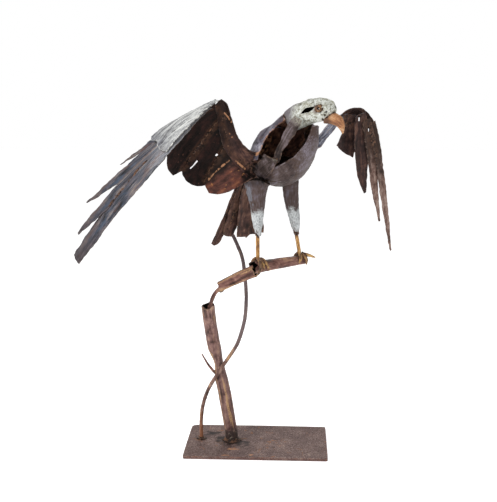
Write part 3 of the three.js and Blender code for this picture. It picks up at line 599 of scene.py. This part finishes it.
def rust_skin(paint, stops, along=0.05, across=0.006):
    """Mottled rust drawn out along the piece: its colour, the value behind it and its fine pits."""
    value = paint.blend((paint.cloud(45, 6, 0.62, 0.4), 0.55), (paint.streaks(along, across, 4, 0.6), 0.45))
    pits = paint.cloud(650, 3, 0.6)
    return paint.stain(paint.ramp(value, stops), stops[0][1], pits, 0.62, 0.85, 0, 0.6), value, pits


def foot_burn(paint, base):
    """Scorched steel low on the post, where it was welded to the plate."""
    ragged = paint.blend((paint.height(), 1.0), (paint.cloud(120), 0.016))
    burnt = paint.stain("2a2422", "8f8678", paint.cloud(210, 3, 0.6), 0.62, 0.74, 0, 0.6)
    return paint.stain(base, burnt, ragged, 0.038, 0.05, 0.85, 0)


def rod_rust(paint, base):
    """Grey in the rod's upper part and fresh rust low down."""
    base = paint.stain(base, "655c5f", paint.height(), 0.2, 0.26, 0, 0.65)
    ragged = paint.blend((paint.height(), 1.0), (paint.cloud(320, 4, 0.7), 0.08))
    return paint.stain(base, "925f40", ragged, 0.06, 0.13, 0.7, 0)


def pipe_material(name, stops, last_coat=None):
    """Rusted pipe with pale yellowish streaks along it."""
    paint = Paint(name, 0.15)
    base, value, pits = rust_skin(paint, stops, 0.06, 0.006)
    run = paint.streaks(0.16, 0.011, 3, 0.6, 0.3)
    speck = paint.cloud(320, 4, 0.7)
    ochre = paint.maths("MULTIPLY", paint.step(run, 0.58, 0.74), paint.step(speck, 0.3, 0.6, 0.25, 0.95))
    base = paint.mix(ochre, base, "ad8a64")
    base = paint.stain(base, "33251f", run, 0.2, 0.36, 0.6, 0)
    base = weather(paint, base, "94785f", "3a2a22")
    if last_coat:
        base = last_coat(paint, base)
    base = paint.mix(paint.attribute("outer"), "140e0c", base)
    rough = paint.step(value, 0.35, 0.7, 0.5, 0.85)
    return paint.finish(base, rough, paint.blend((value, 1.0), (pits, 0.8)), 0.5, 0.8 * MM)


def plate_material():
    """Speckled brown plate with short scratches, spots of rust and darker sides."""
    paint = Paint("plate_steel", 0.1)
    value = paint.blend((paint.cloud(24, 6, 0.65), 0.2), (paint.cloud(340, 4, 0.8), 0.65),
                        (paint.streaks(0.02, 0.0014, 3, 0.6), 0.15))
    base = paint.ramp(value, [
        (0.2, "30211e"), (0.38, "4e3a36"), (0.5, "68534f"), (0.6, "7d6863"), (0.78, "a8968b")])
    base = paint.stain(base, "33251f", paint.cloud(240, 3, 0.7), 0.62, 0.78, 0, 0.8)
    base = paint.stain(base, "95633f", paint.cloud(55, 4, 0.7, 0.6), 0.66, 0.8, 0, 0.8)
    base = paint.stain(base, "59433f", paint.height(), 0.005, 0.0058, 0.6, 0)
    base = weather(paint, base, "7d5445", "2b2523", 0.6, 0.95)
    return paint.finish(base, paint.step(value, 0.4, 0.65, 0.6, 0.85), value, 0.5, 0.6 * MM)


TINTED = [(0.2, "2f2e33"), (0.38, "484853"), (0.5, "5f5b63"), (0.6, "6c6062"), (0.72, "80726a"),
          (0.85, "9a8f88")]


def sheet_material(name, inside_stops, rim_code, outer_stops=TINTED, sheen=0.15, rim_share=0.5, spots=None,
                   far_end=None, root=None):
    """Sheet that is dark and rusty inside and heat-tinted and streaked outside.

    far_end, for the inside, and root, for both sides, are (code, low, high) by the reach along the piece.
    """
    paint = Paint(name, 0.15, sheen)
    inside, value, pits = rust_skin(paint, inside_stops, 0.05, 0.007)
    streak = paint.streaks(0.11, 0.0045, 4, 0.6, 0.2)
    outer = paint.ramp(streak, outer_stops)
    reach = paint.attribute("reach")
    if root:
        code, low, high = root
        inner = paint.blend((reach, 1.0), (value, 0.25))
        inside = paint.stain(inside, code, inner, low, high, 0.95, 0)
        outer = paint.stain(outer, code, inner, low, high, 0.95, 0)
    if far_end:
        code, low, high = far_end
        inside = paint.stain(inside, code, paint.blend((reach, 1.0), (value, 0.3)), low, high, 0, 0.85)
    if spots:
        inside = paint.stain(inside, spots, paint.cloud(150, 2, 0.5), 0.78, 0.9, 0, 0.75)
    # Painted shade where the inside lies in the shade of the cup
    inside = paint.mix(paint.attribute("dusk"), inside, "201815")
    base = paint.mix(paint.attribute("outer"), inside, outer)
    base = weather(paint, base, rim_code, "5c4030", rim_share, 0.4)
    relief = paint.blend((value, 1.0), (streak, 1.0), (pits, 0.5))
    return paint.finish(base, paint.step(value, 0.35, 0.7, 0.5, 0.85), relief, 0.6, 1.0 * MM)


def primary_material():
    """Long feathers in dark slate, blue-grey, violet and tan, whitish where they leave the coverts."""
    paint = Paint("streaked_feather", 0.1)
    reach = paint.attribute("reach")
    wide = paint.streaks(0.10, 0.012, 3, 0.6, 0.4)
    thin = paint.streaks(0.08, 0.0014, 4, 0.7)
    value = paint.blend((wide, 0.5), (thin, 0.5))
    outer = paint.ramp(value, [
        (0.24, "18181b"), (0.38, "31333a"), (0.5, "4a4d57"), (0.61, "625d65"), (0.71, "7a6e66"),
        (0.87, "aaa39c")])
    tint = paint.streaks(0.07, 0.016, 3, 0.6, 0.5)
    outer = paint.stain(outer, "5b423b", tint, 0.56, 0.74, 0, 0.65)
    outer = paint.stain(outer, "42546a", tint, 0.2, 0.4, 0.5, 0)
    outer = paint.stain(outer, "453532", paint.blend((reach, 1.0), (wide, 0.4)), 0.8, 1.2, 0, 0.55)
    outer = paint.stain(outer, "a3a4a9", paint.blend((reach, 1.0), (thin, 0.5)), 0.38, 0.62, 0.8, 0)
    inside, _, pits = rust_skin(paint, [
        (0.25, "17100e"), (0.45, "2c1f1b"), (0.6, "46322a"), (0.75, "664a3c")])
    base = weather(paint, paint.mix(paint.attribute("outer"), inside, outer), "7f746c", "54433c", 0.4, 0.3)
    relief = paint.blend((value, 1.4), (pits, 0.3))
    return paint.finish(base, paint.step(thin, 0.35, 0.7, 0.4, 0.7), relief, 0.8, 1.2 * MM)


def white_covert_material():
    """White sheet with long dark cracks along the grain, slate towards its torn end."""
    paint = Paint("white_coverts", 0.0)
    thin = paint.streaks(0.07, 0.0013, 5, 0.7, 0.2)
    crack = paint.streaks(0.05, 0.0035, 3, 0.6, 0.4)
    wide = paint.streaks(0.14, 0.007, 3, 0.5)
    value = paint.blend((thin, 0.6), (wide, 0.4))
    outer = paint.ramp(value, [
        (0.22, "3f3d40"), (0.36, "7c7c7f"), (0.47, "adaeae"), (0.6, "c9cac8"), (0.78, "dfe0dc")])
    outer = paint.stain(outer, "3a383b", crack, 0.2, 0.36, 0.85, 0)
    faded = paint.blend((paint.attribute("reach"), 1.0), (thin, 0.6), (crack, 0.3))
    outer = paint.stain(outer, "6a6a73", faded, 1.15, 1.6, 0, 0.95)
    inside, _, pits = rust_skin(paint, [
        (0.25, "120d0b"), (0.45, "231a17"), (0.6, "3a2a23"), (0.75, "5d4437")])
    base = weather(paint, paint.mix(paint.attribute("outer"), inside, outer), "d6d5cf", "8a8078", 1.0, 0.2)
    relief = paint.blend((value, 1.5), (paint.step(crack, 0.2, 0.4), 1.0), (pits, 0.3))
    return paint.finish(base, paint.step(thin, 0.3, 0.7, 0.55, 0.85), relief, 0.9, 1.6 * MM)


def head_material():
    """Chalky greenish white with dark pores and flecks, browner towards the neck, with painted shade in the
    eye socket and creases.
    """
    paint = Paint("chalky_head", 0.0, 0.1)
    lumps = paint.cloud(130, 5, 0.7, 0.5)
    fine = paint.cloud(480, 4, 0.75)
    outer = paint.ramp(paint.blend((lumps, 0.5), (fine, 0.5)), [
        (0.14, "3b372f"), (0.29, "7d796b"), (0.42, "aaaa9d"), (0.55, "c8cac2"), (0.74, "e4e7e3")])
    stain = paint.cloud(60, 4, 0.6, 0.8)
    outer = paint.stain(outer, "8f8a6c", stain, 0.6, 0.85, 0, 0.5)
    ragged = paint.blend((paint.attribute("forward"), 1.0), (stain, 9.0))
    outer = paint.stain(outer, "686067", ragged, 29, 44, 0.9, 0)
    outer = paint.mix(paint.attribute("bruise"), outer, "6a5a58")
    # Painted shade in the eye socket, the holes beside the eye, the cleft at the beak's root and the creases
    outer = paint.mix(paint.attribute("painted_shade"), outer, "241b17")
    base = weather(paint, paint.mix(paint.attribute("outer"), "0d0a09", outer), "8f8577", "8a7c66", 0.4, 0.3)
    return paint.finish(base, 0.85, paint.blend((lumps, 1.0), (fine, 0.8)), 0.9, 1.4 * MM)


DARK_INSIDE = [(0.25, "120d0b"), (0.45, "261b16"), (0.6, "3a2a21"), (0.78, "59402f")]


def body_material(name, stops, rim_code="8f6f58", rim_share=0.6, patch=None, inside_stops=DARK_INSIDE,
                  end=None):
    """Hammered, heat-tinted sheet of the trunk, brushed along the grain, with rusty patches.

    end is the far end's colour as (code, low, high) by the reach along the piece.
    """
    paint = Paint(name, 0.05, 0.1)
    broad = paint.cloud(22, 4, 0.6, 0.8)
    brush = paint.streaks(0.08, 0.003, 5, 0.65)
    value = paint.blend((broad, 0.62), (brush, 0.38))
    outer = paint.ramp(value, stops)
    if patch:
        outer = paint.stain(outer, patch, paint.cloud(30, 5, 0.6, 0.8), 0.55, 0.8, 0, 0.7)
    if end:
        code, low, high = end
        tip = paint.stain(outer, code, paint.cloud(300, 4, 0.7), 0.3, 0.55)
        ragged = paint.blend((paint.attribute("reach"), 1.0), (broad, 0.25))
        outer = paint.stain(outer, tip, ragged, low, high)
    inside, _, pits = rust_skin(paint, inside_stops)
    base = paint.mix(paint.attribute("outer"), inside, outer)
    base = weather(paint, base, rim_code, "2f2522", rim_share, 0.75)
    relief = paint.blend((value, 1.0), (pits, 0.7))
    return paint.finish(base, paint.step(brush, 0.35, 0.7, 0.4, 0.65), relief, 0.6, 1.0 * MM)


def thigh_material():
    """Brown and blue-grey cone whose lower part was dipped in white, with a painted sheen down one edge and
    painted shade at its top.
    """
    paint = Paint("dipped_thigh", 0.05, 0.1)
    height = paint.height()
    broad = paint.cloud(26, 4, 0.55, 0.5)
    brush = paint.streaks(0.06, 0.003, 5, 0.65)
    fine = paint.cloud(300, 4, 0.6)
    bare = paint.ramp(paint.blend((broad, 0.5), (brush, 0.5)), [
        (0.15, "332927"), (0.4, "493c38"), (0.6, "544848"), (0.85, "6c6670")])
    white = paint.ramp(paint.blend((fine, 0.5), (brush, 0.5)), [
        (0.2, "7d7e7f"), (0.45, "a4a7a8"), (0.66, "c2c5c5")])
    low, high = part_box("right_thigh")
    waist = low[2] + 0.40 * (high[2] - low[2])
    ragged = paint.blend((height, 1.0), (paint.cloud(90), 0.024))
    outer = paint.stain(white, bare, ragged, waist + 0.006, waist + 0.022)
    # Painted sheen: a blue-grey reflection down the thigh's edge
    painted_sheen = paint.blend((paint.attribute("painted_sheen"), 1.0), (brush, 0.9))
    outer = paint.stain(outer, "72767f", painted_sheen, 0.9, 1.6, 0, 0.6)
    # Painted shade along the top, under the belly
    top = paint.blend((height, 1.0), (broad, 0.02))
    outer = paint.stain(outer, "2a2220", top, high[2] - 0.012, high[2] + 0.008, 0, 0.75)
    base = weather(paint, paint.mix(paint.attribute("outer"), "1a1411", outer), "6f5d52", "5a483e", 0.4, 0.3)
    return paint.finish(base, 0.6, paint.blend((broad, 1.0), (fine, 0.8)), 0.6, 0.9 * MM)


def ochre_material(name, stops, rim_code="c49a5e", root=None):
    """Thin ochre colour over steel. One with a root colour is darker there, with painted shade in the cleft
    at its root.
    """
    paint = Paint(name, 0.1, 0.3)
    base, value, pits = rust_skin(paint, stops, 0.02, 0.004)
    if root:
        ragged = paint.blend((paint.attribute("reach"), 1.0), (value, 0.3))
        base = paint.stain(base, root, ragged, 0.42, 0.78, 0.9, 0)
        # Painted shade in the cleft at the beak's root
        base = paint.mix(paint.attribute("painted_shade"), base, "1d1410")
    base = weather(paint, base, rim_code, "6a4a34", 0.5, 0.6)
    rough = paint.step(value, 0.3, 0.7, 0.4, 0.75)
    return paint.finish(base, rough, paint.blend((value, 1.0), (pits, 0.8)), 0.5, 0.7 * MM)


def bead_material():
    """Dark lumpy weld metal, browner in places."""
    paint = Paint("weld_metal", 0.2)
    lumps = paint.cloud(260, 4, 0.6)
    dark = paint.ramp(lumps, [(0.3, "1f1714"), (0.5, "3b2c26"), (0.7, "654a3a")])
    base = paint.stain(dark, "7a5740", paint.cloud(40, 2, 0.5), 0.66, 0.9)
    return paint.finish(base, 0.6, lumps, 0.6, 0.6 * MM)


MATERIALS = {
    "pipe": pipe_material("rusted_pipe", [
        (0.2, "35211d"), (0.38, "5b3d36"), (0.5, "724f48"), (0.64, "856258"), (0.82, "a8876f")]),
    "post": pipe_material("rusted_post", [
        (0.2, "3a2925"), (0.38, "5e443f"), (0.5, "755954"), (0.64, "886a62"), (0.82, "ab8d76")], foot_burn),
    "rod": pipe_material("rusted_rod", [
        (0.15, "3b2a25"), (0.42, "614840"), (0.58, "765a50"), (0.82, "977d70")], rod_rust),
    "plate": plate_material(),
    "primary": primary_material(),
    "coverts": white_covert_material(),
    "head": head_material(),
    "cup": sheet_material("dark_lobe", [
        (0.15, "0e0a09"), (0.4, "1b1412"), (0.6, "271b19"), (0.9, "3d2925")],
        "513931", sheen=0.08, rim_share=0.25, spots="5a3c32"),
    # The arm's inside gets painted shade towards its far end
    "arm": sheet_material("brown_arm", [
        (0.2, "241918"), (0.42, "3f2d2a"), (0.56, "553e39"), (0.78, "7b5a4d")],
        "5d463b", sheen=0.12, rim_share=0.25, spots="7a5c49", far_end=("211816", 0.5, 0.85)),
    "orange": sheet_material("orange_lobe", [
        (0.18, "331f1b"), (0.38, "4e332d"), (0.52, "633f37"), (0.66, "74473a"), (0.84, "98644a")],
        "8a6550", spots="b98050"),
    "brown": sheet_material("brown_feather", [
        (0.18, "1f1715"), (0.42, "332523"), (0.58, "44322e"), (0.85, "654a40")],
        "6d564a", sheen=0.1, rim_share=0.35),
    "tan": sheet_material("tan_feather", [
        (0.18, "3a2b26"), (0.38, "604840"), (0.55, "7b635a"), (0.8, "a08c82")], "8b7468", [
        (0.18, "4a3a34"), (0.38, "6b544c"), (0.55, "85706a"), (0.8, "aa9a93")], root=("2b201c", 0.25, 0.55)),
    "tail": sheet_material("tail_rust", [
        (0.16, "241a17"), (0.4, "422e29"), (0.58, "5a413a"), (0.85, "87695a")], "8a6d56"),
    "back": body_material("blue_back", [
        (0.22, "37323a"), (0.38, "55505a"), (0.5, "6d6873"), (0.62, "85828c"), (0.8, "a9a6ad")],
        "b08468", 0.9, "5b4a48", [
        (0.25, "2a1b17"), (0.45, "4c332b"), (0.6, "6b4a3c"), (0.78, "8a6450")], ("4b4047", 0.62, 0.95)),
    "body": body_material("brown_body", [
        (0.14, "302726"), (0.34, "453937"), (0.5, "544845"), (0.64, "5f5558"), (0.86, "7a727b")],
        "91868a", 0.6, "473529", end=("4a3c38", 0.72, 1.0)),
    "strip": body_material("dark_strip", [
        (0.25, "231c1b"), (0.42, "3d3330"), (0.55, "4f4443"), (0.75, "6d6266")],
        "7a6252", 0.5, end=("8f8b7e", 0.9, 1.1)),
    "bar": body_material("pale_bar", [
        (0.22, "3c3c46"), (0.38, "72727e"), (0.52, "989aa4"), (0.75, "bcbcc2")]),
    "thigh": thigh_material(),
    "leg": ochre_material("ochre_leg", [
        (0.25, "6f4b2c"), (0.42, "a3763f"), (0.55, "c0935a"), (0.75, "d9b888")]),
    "toe": ochre_material("ochre_toe", [
        (0.25, "3b2a20"), (0.4, "644a35"), (0.55, "856445"), (0.75, "bb965f")]),
    "beak": ochre_material("ochre_beak", [
        (0.18, "4f3222"), (0.36, "764d33"), (0.52, "966644"), (0.66, "ab7e58"), (0.84, "c7a381")],
        "caa27c", "4e3426"),
    "nut": ochre_material("rusty_nut", [
        (0.25, "1e1512"), (0.42, "4a352a"), (0.58, "755a47"), (0.78, "b59c84")]),
    "bead": bead_material(),
}
FINISH = {
    "base_plate": "plate", "post": "post", "post_peeled_strip": "pipe", "branch": "pipe",
    "bend_strap": "pipe", "support_rod": "rod", "post_weld": "bead", "rod_weld": "toe", "head": "head",
    "beak": "beak", "right_eye": "nut", "left_eye": "nut", "right_leg": "leg", "left_leg": "leg",
    "right_toe": "toe", "left_toe": "toe", "right_thigh": "thigh", "left_thigh": "thigh",
    "back_plate": "back", "right_wing_arm": "arm", "right_secondary_inner": "orange",
    "right_secondary": "cup", "right_coverts": "coverts", "right_primary": "primary",
    "left_wing_arm": "bar", "left_coverts": "brown", "left_primary": "brown", "left_primary_1": "tan",
    "left_primary_2": "tan", "left_secondary": "brown", "tail_feather": "tail",
    "right_neck_strip": "strip", "right_flank_plate": "strip",
}


def finish_of(name):
    """The finish whose name fits the node's name best; the trunk's other plates share one."""
    fits = [key for key in FINISH if name.startswith(key)]
    return FINISH[max(fits, key=len)] if fits else "body"


# Marks, placed where the photograph shows them: first on the head, as (across, down, reach in mm, strength)

# Painted shade, and dents, in the eye socket, beside the eye, in the cleft at the beak's root and in creases
SOCKET = ((316.6, 109.3, 4, 0.95), (322.2, 110, 3.5, 0.95), (315, 105.7, 3.5, 0.8), (320, 112, 5, 0.6),
          (326.6, 112, 3.5, 1.0), (325, 115.5, 3.5, 0.9), (322.4, 119.2, 3, 0.9), (297, 118, 5, 0.4),
          (304, 121, 4, 0.5), (309, 100.5, 3.5, 0.5), (300, 104, 5, 0.4))
BROW = ((311, 102.5, 8, 1.3), (319, 102, 8, 1.7), (326, 105, 6, 1.0), (306, 117, 12, 1.0), (316, 116, 8, 0.8))
BRUISE = ((315.8, 111.2, 9, 0.7), (307, 114.5, 6, 0.3))

# Then lines on other pieces, as (start, end, half width), all in pixels
TORN_LINES = {
    "right_secondary": (((206, 182), (214, 172.5), 1.3), ((214, 172.5), (229, 160.5), 1.1)),
    "right_wing_arm": (((235.5, 161), (245.5, 169), 1.1), ((225, 113), (231, 122), 1.0),
                       ((229, 133), (232, 137), 0.9)),
    "back_plate": (((269.5, 139), (266, 150), 2.2), ((266, 150), (256, 154.5), 1.6)),
    "base_plate": (((230, 449), (237, 449.5), 1.4), ((222, 455), (229, 455.5), 0.9),
                   ((248, 455), (257, 454.5), 0.9), ((191, 448), (197, 449), 0.8),
                   ((197, 440), (203, 439.5), 0.8)),
}
# Painted shade in the crevices between the wing's arm, the flank plate, the breast and the thigh
ARMPIT = (((245, 177), (255, 166), 4.5), ((250, 176), (262, 180), 3), ((250, 150), (262, 158), 2))
# Painted shade at the wing's root, and dark smudges on the base plate
SHADE_AND_SMUDGE_MARKS = {
    "right_wing_arm": ARMPIT, "right_flank_plate": ARMPIT, "breast_plate": ARMPIT, "right_thigh": ARMPIT,
    "right_secondary_inner": ARMPIT,
    "base_plate": (((208, 433), (218, 432), 3), ((220, 440), (246, 443), 5)),
}
# A painted blue-grey sheen down the right thigh's left edge
SHEEN_STRIPE_LINES = {"right_thigh": (((246.5, 182), (250, 206), 4.5),)}

# The edge of the painted shade in the cup: a place on it, across and up, and the direction away from the
# shade
DUSK_EDGE = (-62 * MM, 606 * MM)
DUSK_AWAY = (0.62, 0.78)


def drawn(points, normals, lines):
    """1 on lines that are drawn on what faces the camera, broken up by noise."""
    seen = on_photo(points)
    total = np.zeros(len(points))
    for start, end, width in lines:
        start, along = np.array(start), np.subtract(end, start)
        share = np.clip((seen - start) @ along / (along @ along), 0, 1)
        off = np.linalg.norm(seen - start - share[:, None] * along, axis=1)
        total = np.maximum(total, 1 - smooth_step(0.5 * width, 1.3 * width, off))
    ahead = camera_axes()[0]
    broken = smooth_step(-0.6, 0.1, noise(points, 5 * MM, SEED + 5))
    return total * broken * smooth_step(0, 0.2, -normals @ ahead)


def marked(points, normals, marks):
    """How strongly points that face the camera are marked, by their distance from lines of sight."""
    total = np.zeros(len(points))
    for u, v, reach, strength in marks:
        line = sight(u, v)
        away = points - CAMERA_PLACE
        off = np.linalg.norm(away - (away @ line)[:, None] * line, axis=1)
        facing = smooth_step(0.0, 0.3, -normals @ line)
        total += strength * facing * (1 - smooth_step(0.3 * reach * MM, reach * MM, off))
    return total


def dusk(points):
    """Painted shade: 1 where a piece lies in the shade of the cup, above a slanting ragged line."""
    across, up = points[:, 0] - DUSK_EDGE[0], points[:, 2] - DUSK_EDGE[1]
    below = DUSK_AWAY[0] * across - DUSK_AWAY[1] * up + 4 * MM * noise(points, 9 * MM, SEED + 4)
    return 1 - smooth_step(-6 * MM, 6 * MM, below)


# Dressing the nodes

SHARP = {"toe": 72, "leg_rod": 72, "support_rod": 72, "beak": 72, "peeled": 72, "weld": 72}
SHEET_SHARP = 46
DENTS = {"base_plate": 0.0, "post": 0.5, "branch": 0.7, "support_rod": 0.3, "leg_rod": 0.15, "toe": 0.3,
         "eye": 0.15, "head": 0.8, "beak": 0.3, "weld": 0.5}
SMALL = ("toe", "leg_rod", "eye", "beak", "weld", "peeled", "head")

# Relief as (push, size of its lumps), in mm
BROAD_DENTS = (1.1, 26)
HAMMER_MARKS = (0.5, 9)
RAGGED_RIMS = (0.8, 7)
GRIT = (0.16, 4)
HEAD_LUMPS = ((1.0, 13), (0.6, 5))
THIGH_LUMPS = ((0.9, 16), (0.5, 6))
SOCKET_DEPTH = 1.2

# The head's rear is tucked in, in mm, from a farther to a nearer place ahead of the perch
HEAD_TUCK = (2.6, 21, 31)

# A thigh's rounded top, as (droop at its sides, depth), and its knob, as (push, reach, depth), in mm
THIGH_TOP = (9, 22)
THIGH_KNOB = (2.0, 9, 14)
# How far the top of a trunk plate is drawn out, in mm, from a lower to an upper height over the perch
SWELLS = {"breast_plate": (-4.5, 122, 138), "left_side_plate": (-4.5, 122, 138), "back_plate": (5, 104, 126)}


def value_for(name, table, default):
    """The value of the first key that is in a node's name."""
    return next((value for key, value in table.items() if key in name), default)


def crumple(name, points, normals, rim, amount):
    """Dents, hammer marks and ragged rims. Both faces of a sheet move together, so it keeps its thickness."""
    seed = SEED + sum(map(ord, name))
    moved = points.copy()
    whole = np.ones(len(points))
    for (push, size), share in ((BROAD_DENTS, whole), (HAMMER_MARKS, whole), (RAGGED_RIMS, rim)):
        moved += (amount * push * MM * share)[:, None] * noise_vectors(points, size * MM, seed)
        seed += 3
    push, size = GRIT
    return moved + (push * MM * noise(points, size * MM, seed))[:, None] * normals


def lumps(points, sizes, seed):
    """The sum of noises, each as (push, size of its lumps) in mm."""
    return sum(push * noise(points, size * MM, seed + k) for k, (push, size) in enumerate(sizes))


def sculpt_head(points, normals):
    """Lumpy casting with a brow, an eye socket and a cleft at the beak's root, tucked in at the neck."""
    push = lumps(points, HEAD_LUMPS, SEED + 20) + marked(points, normals, BROW)
    push -= SOCKET_DEPTH * marked(points, normals, SOCKET)
    moved = points + (push * MM)[:, None] * normals
    depth, rear, front = HEAD_TUCK
    tuck = 1 - smooth_step(rear, front, (points - PERCH) @ FORWARD / BIRD_UNIT)
    return moved - (depth * MM * tuck)[:, None] * from_line(points, TRUNK_LINE)


def swell_top(points, amount, low, high):
    """A trunk plate drawn out, or in where the amount is below zero, near the head."""
    height = (points[:, 2] - PERCH[2]) / BIRD_UNIT
    return points + (amount * MM * smooth_step(low, high, height))[:, None] * from_line(points, TRUNK_LINE)


def sculpt_thigh(points, normals):
    """Hammered cone with a rounded top and a knob near the top of its front."""
    top = points[:, 2].max()
    across = (points - points.mean(axis=0)) @ camera_axes()[1]
    sag, depth = THIGH_TOP
    near_top = smooth_step(top - depth * MM, top, points[:, 2])
    droop = sag * MM * (across / np.abs(across).max()) ** 2 * near_top
    points = points - droop[:, None] * UP
    push = lumps(points, THIGH_LUMPS, SEED + 22)
    height, reach, depth = THIGH_KNOB
    front = points[np.argmin(points @ towards(-0.8, 0.6, 0) + 3 * np.abs(points[:, 2] - top + depth * MM))]
    knob = 1 - smooth_step(0, reach * MM, np.linalg.norm(points - front, axis=1))
    return points + ((push + height * knob) * MM)[:, None] * normals


def dress(name, points, faces, seams):
    """A piece with a node's form, its relief and the values that its material reads."""
    normals = vertex_normals(points, faces)
    rim = rim_nearness(points, faces)
    outer = outside(name, points, normals)
    middle, axes = own_axes(points)
    blank = np.zeros(len(points))
    attributes = {
        "grain": (points - middle) @ axes.T,
        "rim": rim,
        "outer": outer,
        "weld": weld_nearness(points, seams),
        "reach": reach_along(points),
        "forward": (points - PERCH) @ FORWARD / BIRD_UNIT,
        "painted_shade": np.clip(marked(points, normals, SOCKET), 0, 0.95) if name in ("head", "beak") else blank,
        "bruise": np.clip(marked(points, normals, BRUISE), 0, 0.8) if name == "head" else blank,
        "dusk": dusk(points) if name == "right_secondary_inner" else blank,
        "bright": drawn(points, normals, value_for(name, TORN_LINES, ())),
        "painted_sheen": drawn(points, normals, value_for(name, SHEEN_STRIPE_LINES, ())),
        "shade_and_smudge": drawn(points, normals, value_for(name, SHADE_AND_SMUDGE_MARKS, ())),
    }
    moved = crumple(name, points, normals, rim, value_for(name, DENTS, 1.0))
    if name == "head":
        moved = sculpt_head(moved, normals * outer[:, None])
    if name in SWELLS:
        moved = swell_top(moved, *SWELLS[name])
    if name.endswith("thigh"):
        moved = sculpt_thigh(moved, normals * outer[:, None])
    piece = make_mesh(name + "_metal", moved, faces, value_for(name, SHARP, SHEET_SHARP), attributes)
    piece.data.materials.append(MATERIALS[finish_of(name)])
    return piece


# The stage

FLOOR_GLOW = 0.62
SKY = 0.4
SKY_START, SKY_FULL = 0.2, 0.45
LIT_PLACE = Vector((0, 0, 0.45))
SOFTBOXES = (((-1.6, -1.8, 2.2), 1.2, 52), ((1.8, -1.2, 1.6), 1.2, 4), ((0.2, 1.8, 2.2), 1.5, 24))


def make_floor():
    """A plain pale floor that glows a little, so that it stays as white as the photograph's ground."""
    bpy.ops.mesh.primitive_plane_add(size=30)
    floor = bpy.context.object
    floor.name = "floor"
    pale = bpy.data.materials.new("pale_floor")
    pale.use_nodes = True
    inputs = pale.node_tree.nodes["Principled BSDF"].inputs
    inputs["Base Color"].default_value = (0.9, 0.9, 0.9, 1)
    inputs["Roughness"].default_value = 0.9
    inputs["Emission Color"].default_value = (1, 1, 1, 1)
    inputs["Emission Strength"].default_value = FLOOR_GLOW
    floor.data.materials.append(pale)


def make_world():
    """White round the horizon, greyer above."""
    world = bpy.data.worlds.new("studio")
    world.use_nodes = True
    nodes, links = world.node_tree.nodes, world.node_tree.links
    split = nodes.new("ShaderNodeSeparateXYZ")
    links.new(nodes.new("ShaderNodeTexCoord").outputs["Generated"], split.inputs[0])
    fall = nodes.new("ShaderNodeValToRGB")
    white, grey = fall.color_ramp.elements
    white.position, white.color = SKY_START, (1, 1, 1, 1)
    grey.position, grey.color = SKY_FULL, (SKY, SKY, SKY, 1)
    links.new(split.outputs["Z"], fall.inputs["Fac"])
    links.new(fall.outputs["Color"], nodes["Background"].inputs["Color"])
    bpy.context.scene.world = world
    bpy.context.scene.view_settings.view_transform = "Standard"


def make_light(place, size, power):
    light = bpy.data.lights.new("softbox", "AREA")
    light.shape = "DISK"
    light.size = size
    light.energy = power
    lamp = bpy.data.objects.new("softbox", light)
    lamp.location = place
    lamp.rotation_euler = (LIT_PLACE - lamp.location).to_track_quat("-Z", "Y").to_euler()
    bpy.context.collection.objects.link(lamp)


make_camera()
make_floor()
make_world()
for softbox in SOFTBOXES:
    make_light(*softbox)

shapes = {}
for node_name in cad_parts:
    limit = SMALL_EDGE if any(key in node_name for key in SMALL) else FINE_EDGE
    if node_name == "base_plate":
        limit = PLATE_EDGE
    shapes[node_name] = refined(*node_arrays(node_name), limit, value_for(node_name, SHARP, SHEET_SHARP))

seams = seam_points(shapes)
seam_tree = KDTree(len(seams))
for i, point in enumerate(seams):
    seam_tree.insert(point, i)
seam_tree.balance()

for node_name, (points, faces) in shapes.items():
    piece = dress(node_name, points, faces, seam_tree)
    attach(piece, "root")
    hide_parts(node_name)

beads = make_beads(seams)
beads.data.materials.append(MATERIALS["bead"])
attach(beads, "root")
